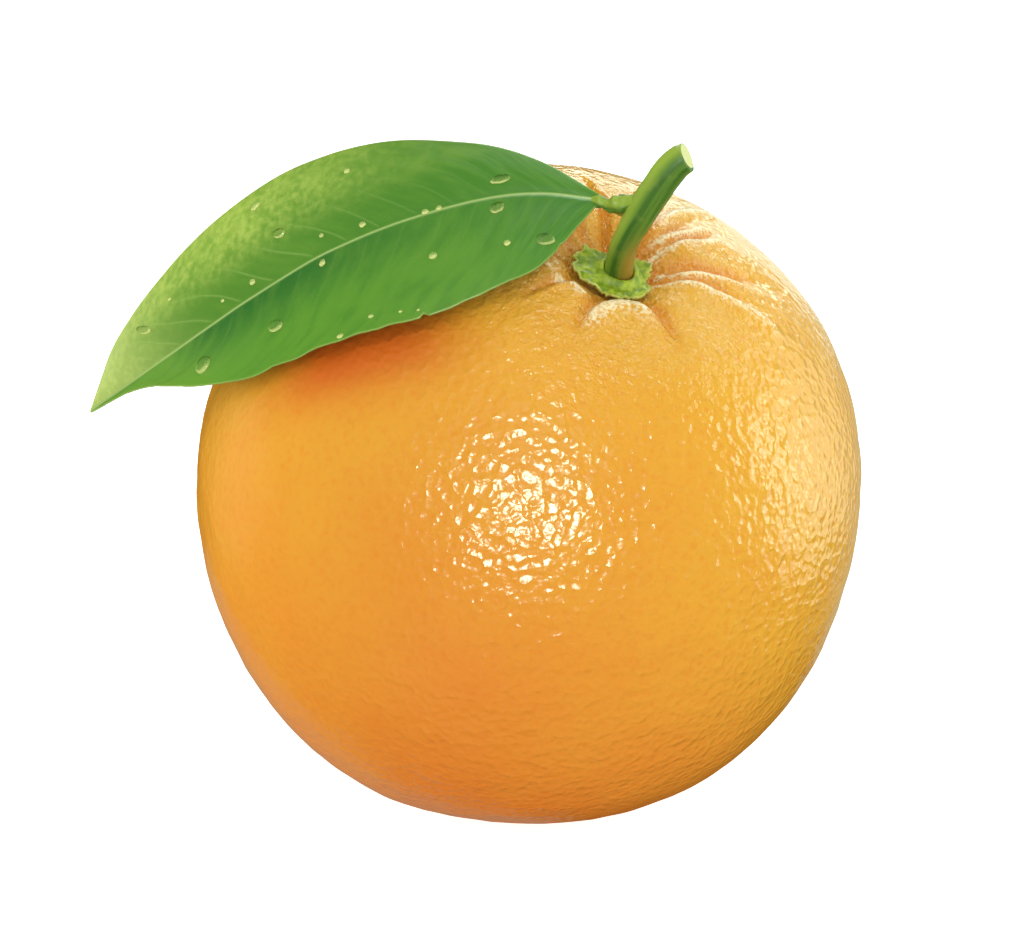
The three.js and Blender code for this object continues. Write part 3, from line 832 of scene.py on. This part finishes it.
# %% Make the leaf's finish
def leaf_finish():
    """Waxed green above, paler and duller below."""
    leaf = Finish("leaf_green", Subsurface_Weight=0.05, Subsurface_Scale=0.001)
    along = leaf.attribute("along")
    aside = leaf.attribute("aside")
    to_edge = leaf.attribute("to_edge")
    under = leaf.attribute("under")
    phase = leaf.attribute("vein")
    blotch = leaf.grain(6 * MM, 4.0)
    speckle = leaf.grain(0.4 * MM, 2.0)
    mottling = leaf.grain(0.9 * MM, 5.0)
    between_veins = leaf.node("ShaderNodeCombineXYZ", None, {"X": phase, "Y": aside * 0.12})
    streak = leaf.grain(0.45, 3.0, between_veins)

    from_rib = abs(aside)
    far_side = 1 - aside.rise(-0.25, 0.25)
    near_side = 1 - far_side
    rib = from_rib.bell(0.14)
    rim = to_edge.bell(0.16)
    vein = abs(phase.fraction() - 0.5).bell(0.04)
    vein = vein * from_rib.rise(0.2, 0.8) * (1 - from_rib.rise(2.0, 9.0))

    # Painted shade: the near half darkens along the midrib, less so towards the tip.
    shade = near_side * (1 - from_rib.rise(0.0, 8.0)) * (0.35 + along.rise(0.25, 0.6) * 0.65)
    blade = leaf.blend(shade * (1 - along.rise(0.7, 0.85) * 0.6), NEAR_GREEN, MIDRIB_SHADE)
    blade = leaf.blend(near_side * along.rise(0.68, 0.8) * 0.6, blade, NEAR_TIP)
    blade = leaf.blend(far_side * 0.8, blade, FAR_GREEN)
    blade = leaf.blend(far_side * (1 - along.rise(0.2, 0.7)) * 0.5, blade, FAR_BASE)
    blade = leaf.blend(near_side * (1 - along.rise(0.05, 0.4)) * 0.4, blade, NEAR_BASE)
    blade = leaf.blend(streak.rise(0.4, 0.75) * 0.3, blade, LIGHT_STREAK)
    blade = leaf.blend((1 - streak.rise(0.25, 0.5)) * near_side * 0.35, blade, DARK_STREAK)

    # Painted sheen: the far half pales towards its rim; the blotchy patches are the leaf's own
    # tone.
    painted_sheen = far_side * from_rib.rise(2.0, 12.0) * along.rise(0.2, 0.65) * 0.65
    patch = blotch.rise(0.45, 0.7) * far_side * from_rib.rise(3.0, 9.0) * 0.3
    blade = leaf.blend(painted_sheen + patch, blade, PALE_PATCH_AND_SHEEN)
    mottle = mottling.rise(0.3, 0.75) * far_side * from_rib.rise(2.0, 9.0)
    blade = leaf.blend(mottle * along.rise(0.25, 0.6) * 0.55, blade, MOTTLE)
    tip = far_side * along.rise(0.66, 0.96) * 0.78
    blade = leaf.blend(tip * (0.8 + mottling.rise(0.4, 0.65) * 0.2), blade, TIP_YELLOW)
    clearer = far_side * along.rise(0.2, 0.6) * 0.25
    blade = leaf.blend(vein * (0.06 + clearer), blade, VEIN_GREEN)
    blade = leaf.blend(rim * 0.45, blade, RIM_GREEN)
    blade = leaf.blend(rib * 0.75, blade, RIB_GREEN)
    lower = leaf.blend(vein * 0.5 + rib * 0.6, UNDERSIDE, UNDER_VEIN)
    leaf.feed("Base Color", leaf.blend(under, blade, lower))
    leaf.feed("Roughness", 0.38 + under * 0.25 + (speckle - 0.5) * 0.12)
    leaf.raise_surface(speckle * 0.012 + blotch * 0.12 + streak * 0.05)
    return leaf


finish_piece("leaf_blade", shape_leaf(), leaf_finish(), ["leaf"])

# %% [markdown]
# ## Dew on the leaf
# Drops of dew sit on the waxed leaf as low domes with uneven outlines. Each one starts as a
# small sphere whose lower half is pressed nearly flat, and is stretched along the leaf. Light
# from above gathers at the lower side of a drop, so each vertex remembers how near the rim and
# how near that side it is. Real water bends light, which an exported model seldom shows, so the
# drops are nearly clear domes whose bright and dark sides are drawn in colour.

# %% Place the drops
# Share along the leaf, share across it (far side negative), length, width and turn in degrees.
DROPS = [
    (0.55, -0.80, 1.3, 0.9, 20),
    (0.54, -0.38, 1.7, 1.2, -20),
    (0.49, -0.16, 0.59, 0.51, 0),
    (0.51, 0.08, 0.94, 0.77, 40),
    (0.61, -0.12, 0.85, 0.68, 0),
    (0.66, -0.14, 0.51, 0.42, 0),
    (0.72, -0.60, 0.51, 0.42, 0),
    (0.79, -0.56, 2.6, 1.0, -45),
    (0.62, 0.46, 2.2, 1.5, -15),
    (0.74, 0.52, 2.3, 2.0, 30),
    (0.42, -0.70, 0.77, 0.68, 0),
    (0.21, -0.28, 2.2, 1.1, 15),
    (0.34, -0.02, 0.85, 0.68, 0),
    (0.32, -0.02, 0.68, 0.59, 0),
    (0.23, 0.12, 1.7, 1.2, 25),
    (0.43, -0.10, 0.85, 0.68, 0),
    (0.35, 0.42, 1.02, 0.85, 10),
    (0.22, 0.54, 0.77, 0.68, 0),
    (0.12, 0.66, 2.1, 1.4, -40),
    (0.48, 0.84, 0.68, 0.59, 0),
    (0.43, 0.88, 0.42, 0.42, 0),
    (0.40, 0.92, 0.42, 0.34, 0),
    (0.54, 0.95, 0.94, 0.68, 0),
]
DROP_SIDES, DROP_RINGS = 28, 16
DROP_DOME = 0.3  # height as a share of the width
DROP_SINK = 0.05
DROP_UNEVEN = 0.16
DROP_SMALL = (1.0, 1.6)  # a drop shorter than the first of these shines all over
SLOPE_STEP = 0.01
print(len(DROPS), "drops")


def leaf_slope(along, across):
    """A frame on the leaf's upper face: x towards the tip, z out of the face."""
    middle, _, _ = leaf_point(along, across)
    lengthwise = leaf_point(along + SLOPE_STEP, across)[0]
    lengthwise = (lengthwise - leaf_point(along - SLOPE_STEP, across)[0]).normalized()
    near, far = min(across + SLOPE_STEP, 1), max(across - SLOPE_STEP, -1)
    crosswise = leaf_point(along, near)[0] - leaf_point(along, far)[0]
    facing = lengthwise.cross(crosswise).normalized()
    ways = Matrix((lengthwise, facing.cross(lengthwise), facing)).transposed()
    return Matrix.Translation(middle) @ ways.to_4x4()


def shape_drops():
    """All the drops as one shape, each on its own place on the leaf."""
    shape = bmesh.new()
    rim_layer, lower_layer, small_layer = float_layers(shape, "rim", "lower_side", "small")
    for k, (along, across, length, width, turn) in enumerate(DROPS):
        sphere = bmesh.ops.create_uvsphere(
            shape, u_segments=DROP_SIDES, v_segments=DROP_RINGS, radius=1
        )
        seat = LEAF_TO_FRAME @ leaf_slope(along, across)
        for vert in sphere["verts"]:
            out = vert.co.to_2d().length
            angle = math.atan2(vert.co.y, vert.co.x)
            uneven = 1 + DROP_UNEVEN * unevenness(math.cos(angle), math.sin(angle), 5 * k)
            vert[rim_layer] = out
            vert[small_layer] = 1 - smoothstep(*DROP_SMALL, length)
            vert[lower_layer] = math.sin(angle + math.radians(turn)) * out
            height = max(vert.co.z, 0) * DROP_DOME * width - DROP_SINK * (vert.co.z < 0)
            lengthwise = vert.co.x * length / 2 * uneven
            crosswise = vert.co.y * width / 2 * uneven
            spot = Vector((lengthwise, crosswise, height + DROP_SINK))
            vert.co = seat @ turned_about("Z", turn) @ spot
    bmesh.ops.recalc_face_normals(shape, faces=shape.faces)
    return shape


# %% Make the dew's finish
DEW_BRIGHT, DEW_DARK = colour(230, 238, 150), colour(48, 96, 28)


def dew_finish():
    """Nearly clear water with a bright crescent, a thin outline and a dark upper side."""
    dew = Finish("dew", Roughness=0.06, IOR=1.33)
    rim = dew.attribute("rim")
    small = dew.attribute("small")
    lower_side = dew.attribute("lower_side")
    # Painted light and shade: the bright crescent, the bright outline and the small drops'
    # all-over shine are painted light; the dark upper side is painted shade.
    crescent = rim.rise(0.6, 0.9) * lower_side.rise(0.0, 0.8)
    outline = rim.rise(0.82, 1.0)
    dark = (1 - lower_side.rise(-0.6, -0.1)) * (1 - small)
    dew.feed("Base Color", dew.blend(dark, DEW_BRIGHT, DEW_DARK))
    large = crescent * 0.5 + outline * 0.18 + rim.rise(0.5, 0.8) * dark * 0.14
    shining = small * (0.18 + lower_side.rise(-0.3, 0.6) * 0.5)
    dew.feed("Alpha", 0.04 + large * (1 - small) + shining)
    return dew


finish_piece("dew_drops", shape_drops(), dew_finish(), [])

# %% [markdown]
# ## Tubes that follow a curve
# The stem and the petiole are made the way a potter pulls a handle. A circle of edges is
# extruded step by step, and each new ring is turned and moved to the next place on the curve.
# A bevelled curve object would be quicker, but here each vertex can remember how far along and
# around it is, and each ring can then be shaped by itself.


# %% Define the sweep
def ring_frames(path, steps):
    """A turned frame at each step along a curve, without twist."""
    points = [run_through(path, k / steps) for k in range(steps + 1)]
    frames = []
    side = Vector((1, 0, 0))
    for k, point in enumerate(points):
        along = (points[min(k + 1, steps)] - points[max(k - 1, 0)]).normalized()
        side = (side - along * side.dot(along)).normalized()
        turned = Matrix((side, along.cross(side), along)).transposed().to_4x4()
        frames.append(Matrix.Translation(point) @ turned)
    return frames


def sweep_tube(path, radii, steps, sides):
    """A closed tube along a curve, with its rings, their frames and its end face."""
    shape = bmesh.new()
    along_layer, _ = float_layers(shape, "along", "cut")
    bark_layer = shape.verts.layers.float_vector.new("bark")
    frames = ring_frames(path, steps)
    bmesh.ops.create_circle(
        shape, cap_ends=True, segments=sides, radius=1, matrix=frames[0]
    )
    rings = [list(shape.verts)]
    cap = next(iter(shape.faces))
    for here, there in zip(frames, frames[1:]):
        made = bmesh.ops.extrude_face_region(shape, geom=[cap, *cap.edges])
        ring = new_verts(made)
        cap = next(part for part in made["geom"] if isinstance(part, bmesh.types.BMFace))
        bmesh.ops.transform(shape, matrix=there @ here.inverted(), verts=ring)
        rings.append(ring)
    for k, ring in enumerate(rings):
        radius = run_through(radii, k / steps)
        middle = frames[k].translation
        inverse = frames[k].inverted()
        for vert in ring:
            local = inverse @ vert.co
            vert[along_layer] = k / steps
            vert[bark_layer] = Vector((local.x, local.y, k / steps))
            vert.co = middle + (vert.co - middle) * radius
    bmesh.ops.recalc_face_normals(shape, faces=shape.faces)
    return shape, rings, frames, cap


# %% [markdown]
# ## The stem
# The green stem stands in the calyx, bends with the twig it grew on and ends in a slanting
# cut. Its section is slightly three-cornered, and low ridges run along it. A bisect could make
# the cut, but it would leave slivers at the rim. Here the last rings are drawn in a little and
# pushed back behind the cut's plane, which rounds the edge and keeps the end one clean face.
# Insets then turn that face into pale wood in a green rim.

# %% Write down the stem's form
SEAT_GAP, SOCKET_FLOOR, FOOT_GAP = 0.4, 0.8, 0.3
SOCKET_HEIGHT = peel_radius(0, 0) + SEAT_GAP + SOCKET_FLOOR
STEM_PATH = vectors([
    (0, 0, SOCKET_HEIGHT + FOOT_GAP),
    (-0.42, -0.45, 40.3),
    (-0.72, -0.8, 42.6),
    (-0.62, -0.88, 45),
    (-0.15, -0.5, 47.6),
    (0.5, 0.3, 50.8),
    (1.45, 1.35, 53.5),
    (2.5, 2, 54.9),
])
STEM_RADII = [1.62, 1.55, 1.5, 1.5, 1.6, 1.72, 1.72, 1.65]
STEM_STEPS, STEM_SIDES = 150, 96
STEM_CORNERS, STEM_CORNER_DEPTH = 3, 0.05
RIDGE_HEIGHT, RIDGE_COUNT, RIDGE_LENGTH = 0.03, 5, 6
LUMP_HEIGHT, LUMP_LENGTH = 0.08, 1.8
NODE_HEIGHT, NODE_LENGTH, NODE_AT = 0.3, 1.5, 47.6  # the swelling that bears the petiole
PETIOLE_PATH = vectors([
    (-2.35, 0.45, 47.5),
    (-3.15, 0.75, 46.9),
    (-3.9, 1.05, 46.5),
    (-4.6, 1.3, 46.35),
])
STEM_CUT = Vector((0.69, 0.09, 0.72)).normalized()  # the way that the cut faces
CUT_BEVEL, CUT_BEVEL_RINGS, CUT_RING_GAP = 0.1, 4, 0.012
# Share of wood, width and depth of each inset of the cut: rim, edge, wood and pith.
CUT_INSETS = [(0.2, 0.08, 0.05), (0.8, 0.12, 0.02), (1.0, 0.16, 0.0), (0.8, 0.45, -0.06)]
print("the stem is cut", round(STEM_PATH[-1].z - STEM_PATH[0].z, 1), "mm above the socket")


# %% Shape the stem
def shape_stem():
    """The bent, ridged stem with its slanting cut."""
    shape, rings, frames, cap = sweep_tube(STEM_PATH, STEM_RADII, STEM_STEPS, STEM_SIDES)
    tip = frames[-1].translation
    for k, ring in enumerate(rings):
        back = STEM_STEPS - k
        narrowed = 1 - CUT_BEVEL * max(0, 1 - back / CUT_BEVEL_RINGS) ** 2
        middle = frames[k].translation
        side, front, along = frames[k].to_3x3().col
        petiole_way = (PETIOLE_PATH[0] - middle).to_2d().to_3d().normalized()
        for vert in ring:
            outwards = (vert.co - middle).normalized()
            angle = math.atan2(outwards.dot(front), outwards.dot(side))
            raised = STEM_CORNER_DEPTH * math.cos(STEM_CORNERS * angle)
            around = RIDGE_COUNT * math.cos(angle), RIDGE_COUNT * math.sin(angle)
            raised += RIDGE_HEIGHT * unevenness(*around, middle.z / RIDGE_LENGTH)
            raised += LUMP_HEIGHT * unevenness(*outwards.xy, middle.z / LUMP_LENGTH)
            facing = max(0, outwards.dot(petiole_way))
            raised += NODE_HEIGHT * facing**2 * gaussian(middle.z - NODE_AT, NODE_LENGTH)
            vert.co = middle + (vert.co + outwards * raised - middle) * narrowed
            beyond = (vert.co - tip).dot(STEM_CUT) + CUT_RING_GAP * back
            if back == 0 or beyond > 0:
                vert.co -= along * (beyond / along.dot(STEM_CUT))
            if k == 0:
                vert.co.z = SOCKET_HEIGHT + FOOT_GAP
    cut_layer = shape.verts.layers.float["cut"]
    for share, width, depth in CUT_INSETS:
        bmesh.ops.inset_region(shape, faces=[cap], thickness=width, depth=depth)
        for vert in cap.verts:
            vert[cut_layer] = share
    bmesh.ops.transform(shape, matrix=AXIS_TO_FRAME, verts=shape.verts)
    return shape


# %% [markdown]
# ## The green of the stem
# Young citrus wood is green and streaked lengthwise, yellower where it catches the light and
# worn brown at its foot. The streaks follow the bark's own coordinates, which run around and
# along the tube, so they bend with it.

# %% Make the green of the stem
BARK_GREEN, BARK_LIGHT = colour(56, 100, 26), colour(90, 130, 38)
BARK_LIT, BARK_WORN = colour(158, 184, 62), colour(170, 126, 44)
BARK_PALE = colour(140, 160, 60)
WOOD_PALE, WOOD_GREEN = colour(218, 226, 150), colour(196, 206, 118)
STREAK_CLOSENESS = (2.2, 2.2, 1.5)  # around the stem twice, and along it


def stem_finish():
    """Streaked green bark, with pale wood where the stem is cut."""
    stem = Finish(
        "stem_green",
        Roughness=0.42,
        Specular_IOR_Level=0.35,
        Subsurface_Weight=0.05,
        Subsurface_Scale=0.001,
    )
    along = stem.attribute("along")
    bark = stem.attribute("bark", "Vector")
    cut = stem.attribute("cut")
    inputs = {"Vector": bark, "Scale": STREAK_CLOSENESS}
    streak = stem.grain(1.0, 3.0, stem.node("ShaderNodeMapping", None, inputs))
    speckle = stem.grain(0.35 * MM, 3.0)
    cloud = stem.grain(2.0 * MM, 2.0)
    aside = stem.part(bark, "X")

    young = stem.blend(streak.rise(0.35, 0.65), BARK_GREEN, BARK_LIGHT)
    # Painted light: the bark turns yellower on the side where the light catches it.
    lit = stem.blend((-aside).rise(0.45, 0.95) * 0.75, young, BARK_LIT)
    foot = aside.rise(-0.4, 0.7) * (1 - along.rise(0.1, 0.6))
    worn = stem.blend(foot * 0.85, lit, BARK_WORN)
    pale = stem.blend(cloud.rise(0.55, 0.8) * 0.4, worn, BARK_PALE)
    wood = stem.blend(speckle.rise(0.4, 0.7) * 0.4, WOOD_PALE, WOOD_GREEN)
    stem.feed("Base Color", stem.blend(cut.rise(0.4, 0.8), pale, wood))
    stem.raise_surface(streak * 0.05 + speckle * 0.02)
    return stem


stem_green = stem_finish()
finish_piece("stem_twig", shape_stem(), stem_green, ["stem"])

# %% [markdown]
# ## The petiole
# The leaf's stalk is jointed, as in all citrus: a swollen base on the stem, a narrow neck where
# the leaf would one day drop, and a stalk that runs into the midrib. It could be extruded from
# the stem's own faces, but a second sweep keeps its rings even. Its base flares so that it
# seems to grow out of the stem, and its other end runs a little way into the blade.

# %% Shape the petiole
PETIOLE_SINK = 1.7  # how far the base runs into the stem
PETIOLE_LEAF_END = Vector((1.2, -0.3, 0.1))  # in the leaf's own frame, inside the blade's base
PETIOLE_SAG = 0.25
PETIOLE_RADII = [0.85, 1.16, 0.92, 0.6, 0.66, 0.25]
PETIOLE_STEPS, PETIOLE_SIDES = 70, 48
KNOB_HEIGHT, KNOB_CLOSENESS = 0.3, 1.3


def shape_petiole():
    """The jointed stalk from the stem into the blade."""
    inwards = (PETIOLE_PATH[0] - PETIOLE_PATH[1]).normalized()
    leaf_end = AXIS_TO_FRAME.inverted() @ LEAF_TO_FRAME @ PETIOLE_LEAF_END
    sagging = [point - Vector((0, 0, PETIOLE_SAG)) for point in PETIOLE_PATH]
    path = [PETIOLE_PATH[0] + inwards * PETIOLE_SINK, *sagging, leaf_end]
    shape, rings, frames, _ = sweep_tube(path, PETIOLE_RADII, PETIOLE_STEPS, PETIOLE_SIDES)
    for ring, turned in zip(rings, frames):
        for vert in ring:
            outwards = (vert.co - turned.translation).normalized()
            vert.co += outwards * KNOB_HEIGHT * noise.noise(vert.co * KNOB_CLOSENESS)
    bmesh.ops.transform(shape, matrix=AXIS_TO_FRAME, verts=shape.verts)
    return shape


finish_piece("petiole_stalk", shape_petiole(), stem_green, ["petiole"])

# %% [markdown]
# ## The calyx
# The calyx is what is left of the flower: a thin green saucer with ragged sepals whose tips
# turn up and dry out. A circle of edges is extruded outwards ring by ring over the peel, from
# the socket round the stem to the ragged edge, and the whole sheet is then extruded for its
# thickness. A cut-out disc bent by a modifier could not follow the pit's own floor so closely.

# %% Write down the calyx's form
# Azimuth, radius and lift of the ragged edge's tips and notches.
CALYX_EDGE = [
    (-90, 4.7, 0.2),
    (-68, 3.9, 0.2),
    (-47, 4.0, 0.3),
    (-22, 3.8, 0.4),
    (2, 3.1, 0.3),
    (25, 3.8, 0.8),
    (38, 4.4, 1.1),
    (60, 3.4, 0.7),
    (85, 3.1, 0.3),
    (120, 3.1, 0.3),
    (148, 4.9, 1.0),
    (159, 4.3, 0.7),
    (169, 5.0, 1.0),
    (180, 4.6, 0.7),
    (193, 5.2, 0.9),
    (213, 4.5, 0.5),
    (231, 4.1, 0.6),
    (248, 4.0, 0.3),
    (270, 4.7, 0.2),
]
# Radius and height above the underside, from the middle of the socket to the foot of the ring.
CALYX_RING = [
    (0.9, 0.8),
    (1.5, 0.8),
    (1.58, 1.0),
    (1.62, 1.4),
    (1.74, 1.72),
    (1.95, 1.75),
    (2.2, 1.5),
    (2.5, 1.15),
    (2.8, 0.95),
]
CALYX_SIDES = 180
CALYX_SPREAD = [0.15, 0.3, 0.45, 0.6, 0.75, 0.88, 0.96, 1.0]  # shares from ring to edge
CALYX_THICKNESS = 0.4
EDGE_LIFT = 0.35
TIP_CURL = 0.15  # extra lift of the tips
RING_UNEVEN, CRUMPLE, FRAY = 0.12, 0.45, 0.5  # of the ring, the folds and the edge
RING_TURN, CRUMPLE_TURN, FRAY_TURN = 20, 8, 3.5  # degrees from one to the next
CRUMPLE_CLOSENESS = 1.2  # how fast the folds change outwards


# %% Shape the calyx
def calyx_edge(azimuth):
    """Radius and lift of the ragged edge at an azimuth in degrees."""
    angle = (azimuth - CALYX_EDGE[0][0]) % 360 + CALYX_EDGE[0][0]
    for (a, radius_a, lift_a), (b, radius_b, lift_b) in zip(CALYX_EDGE, CALYX_EDGE[1:]):
        if a <= angle <= b:
            share = (angle - a) / (b - a)
            return radius_a + (radius_b - radius_a) * share, lift_a + (lift_b - lift_a) * share
    return CALYX_EDGE[0][1:]


def calyx_place(azimuth, radius, height):
    """A point above the peel at an azimuth in degrees."""
    turn = math.radians(azimuth)
    polar = math.asin(radius / (FRUIT_RADIUS - HOLLOW_DEPTH - SHOULDER_DEPTH))
    return direction(polar, turn) * (peel_radius(polar, turn) + SEAT_GAP + height)


def saucer_place(azimuth, share):
    """A point of the saucer, a share of the way from the ring's foot to the ragged edge."""
    edge_radius, lift = calyx_edge(azimuth)
    foot_radius, foot_height = CALYX_RING[-1]
    out = foot_radius + (edge_radius - foot_radius) * share
    top = lift * (1 + TIP_CURL * share**3) + EDGE_LIFT
    up = foot_height + (top - foot_height) * share**1.5
    folds = unevenness(azimuth / CRUMPLE_TURN, out * CRUMPLE_CLOSENESS, 0)
    up += CRUMPLE * share * folds
    out += FRAY * share**2 * unevenness(azimuth / FRAY_TURN, 7, 0)
    return calyx_place(azimuth, out, up)


def shape_calyx():
    """The socket, the ring and the ragged saucer as one thick sheet."""
    shape = bmesh.new()
    (spread_layer,) = float_layers(shape, "spread")
    bmesh.ops.create_circle(
        shape, cap_ends=True, cap_tris=True, segments=CALYX_SIDES, radius=1
    )
    ring = [vert for vert in shape.verts if vert.co.length > 0.5]
    middle = next(vert for vert in shape.verts if vert.co.length <= 0.5)
    middle.co = calyx_place(0, 0, CALYX_RING[0][1])
    edges = [edge for edge in shape.edges if len(edge.link_faces) == 1]
    for k, station in enumerate([*CALYX_RING, *CALYX_SPREAD]):
        if k:
            made = bmesh.ops.extrude_edge_only(shape, edges=edges)
            ring = new_verts(made)
            new_edges = (part for part in made["geom"] if isinstance(part, bmesh.types.BMEdge))
            edges = [edge for edge in new_edges if edge.is_boundary]
        for vert in ring:
            azimuth = math.degrees(math.atan2(vert.co.y, vert.co.x))
            if k < len(CALYX_RING):
                radius, height = station
                height += RING_UNEVEN * unevenness(azimuth / RING_TURN, radius, 3)
                vert.co = calyx_place(azimuth, radius, height)
            else:
                vert[spread_layer] = station
                vert.co = saucer_place(azimuth, station)
    thicken_calyx(shape)
    bmesh.ops.transform(shape, matrix=AXIS_TO_FRAME, verts=shape.verts)
    return shape


def thicken_calyx(shape):
    """Gives the sheet its underside."""
    bmesh.ops.recalc_face_normals(shape, faces=shape.faces)
    if sum(face.normal.z for face in shape.faces) < 0:
        bmesh.ops.reverse_faces(shape, faces=shape.faces)
    below = new_verts(bmesh.ops.extrude_face_region(shape, geom=list(shape.faces)))
    bmesh.ops.translate(shape, vec=(0, 0, -CALYX_THICKNESS), verts=below)
    bmesh.ops.recalc_face_normals(shape, faces=shape.faces)


# %% [markdown]
# ## The calyx's finish
# The calyx is a fresh yellowish green, dried to straw along its edge, with a few brown flecks
# near it. Noise alone would dry it in chance places, so each vertex remembers how far out it
# lies, and the noise only breaks up the green and the flecks.

# %% Make the calyx's finish
CALYX_GREEN, CALYX_LIGHT = colour(116, 146, 24), colour(170, 192, 46)
CALYX_DRY, CALYX_FLECK = colour(210, 216, 108), colour(132, 112, 44)


def calyx_finish():
    """Bright green that dries to straw at the tips."""
    calyx = Finish(
        "calyx_green", Roughness=0.42, Subsurface_Weight=0.15, Subsurface_Scale=0.001
    )
    spread = calyx.attribute("spread")
    blotch = calyx.grain(0.9 * MM, 3.0)
    speckle = calyx.grain(0.25 * MM, 3.0)
    green = calyx.blend(blotch.rise(0.35, 0.65), CALYX_GREEN, CALYX_LIGHT)
    drying = calyx.blend(spread.rise(0.82, 1.0) * 0.75, green, CALYX_DRY)
    highlight_flecks = speckle.rise(0.62, 0.78) * spread.rise(0.3, 1.0) * 0.35
    calyx.feed("Base Color", calyx.blend(highlight_flecks, drying, CALYX_FLECK))
    calyx.raise_surface(blotch * 0.2 + speckle * 0.06)
    return calyx


finish_piece("calyx_star", shape_calyx(), calyx_finish(), ["calyx"])

# %% [markdown]
# ## The studio
# A pale floor, a white room and a ring of soft lamps. Gloss and colour are lit apart: some
# lamps only shine in the wax, others only light the peel, and the one above does both. A lamp
# by the camera puts the broken highlight in the middle of the fruit, two on the right draw the
# long reflection there, and those behind put a bright line round the edge. The wide key lamp,
# the fill and the lamps to the left, right, below and back model the form softly. One strong
# lamp would be simpler, but its single hard reflection would hide the small dimples.

# %% Lay the floor
FLOOR_REACH = 40  # metres
FLOOR_GLOW = 0.8

floor_shape = bmesh.new()
bmesh.ops.create_grid(floor_shape, x_segments=1, y_segments=1, size=FLOOR_REACH)
floor_mesh = bpy.data.meshes.new("floor")
floor_shape.to_mesh(floor_mesh)
floor_shape.free()
floor = bpy.data.objects.new("floor", floor_mesh)
bpy.context.scene.collection.objects.link(floor)
floor_finish = Finish(
    "floor_white", Roughness=0.9, Specular_IOR_Level=0.1, Emission_Strength=FLOOR_GLOW
)
floor_finish.feed("Base Color", colour(236, 236, 236))
floor_finish.feed("Emission Color", colour(255, 255, 255))
floor_mesh.materials.append(floor_finish.material)
floor.visible_glossy = floor.visible_diffuse = floor.visible_shadow = False

# %% Hang the lamps
# Angle to the right of the camera and above it, distance, width, height (mm), brightness, and
# whether the lamp lights surfaces and whether it shows in their gloss.
LAMPS = {
    "lamp_glint": (0, -3, 600, 210, 210, 21, False, True),
    "lamp_right": (107, 10, 450, 380, 420, 1.4, False, True),
    "lamp_right_core": (92, 8, 460, 80, 260, 4.2, False, True),
    "lamp_rim": (152, 6, 500, 260, 360, 0.4, False, True),
    "lamp_behind": (155, 46, 520, 360, 200, 5.2, False, True),
    "lamp_limb": (160, 20, 520, 170, 150, 1.4, False, True),
    "lamp_low_rim": (-160, -25, 520, 400, 400, 0.2, False, True),
    "lamp_above": (0, 88, 500, 380, 380, 0.9, True, True),
    "lamp_key": (6, 32, 600, 380, 380, 1.95, True, False),
    "lamp_fill": (-4, 4, 800, 600, 600, 1.25, True, False),
    "lamp_left": (-120, 5, 600, 400, 400, 7.3, True, False),
    "lamp_side": (85, 0, 600, 400, 400, 2.4, True, False),
    "lamp_low": (-44, -56, 600, 400, 400, 2.0, True, False),
    "lamp_back": (150, 5, 600, 400, 400, 2.0, True, False),
}
GLOSS_TINT = (0.84, 1.0, 0.88)  # clear wax over orange gives yellowish reflections
ROOM_GLOW = 0.78


def hang_lamp(name, azimuth, elevation, distance, width, height, brightness, lights, shines):
    """A soft area lamp that faces the fruit."""
    turn, lift = math.radians(azimuth), math.radians(elevation)
    ahead = towards_camera * math.cos(turn) + camera_right * math.sin(turn)
    way = ahead * math.cos(lift) + camera_up * math.sin(lift)
    light = bpy.data.lights.new(name, "AREA")
    light.shape = "DISK" if width == height else "RECTANGLE"
    light.size, light.size_y = width * MM, height * MM
    area = light.size * light.size_y * (math.pi / 4 if width == height else 1)
    light.energy = brightness * math.pi * area
    if not lights:
        light.color = GLOSS_TINT
    lamp = bpy.data.objects.new(name, light)
    lamp.location = (CENTRE + way * distance) * MM
    lamp.rotation_euler = way.to_track_quat("Z", "Y").to_euler()
    lamp.visible_diffuse, lamp.visible_glossy = lights, shines
    bpy.context.scene.collection.objects.link(lamp)


for name, values in LAMPS.items():
    hang_lamp(name, *values)

room = bpy.data.worlds.new("room")
room.use_nodes = True
sky = room.node_tree.nodes["Background"]
sky.inputs["Color"].default_value = (1, 1, 1, 1)
sky.inputs["Strength"].default_value = ROOM_GLOW
room.cycles_visibility.glossy = False
bpy.context.scene.world = room
bpy.context.scene.view_settings.view_transform = "Standard"
print("lamps:", ", ".join(LAMPS))
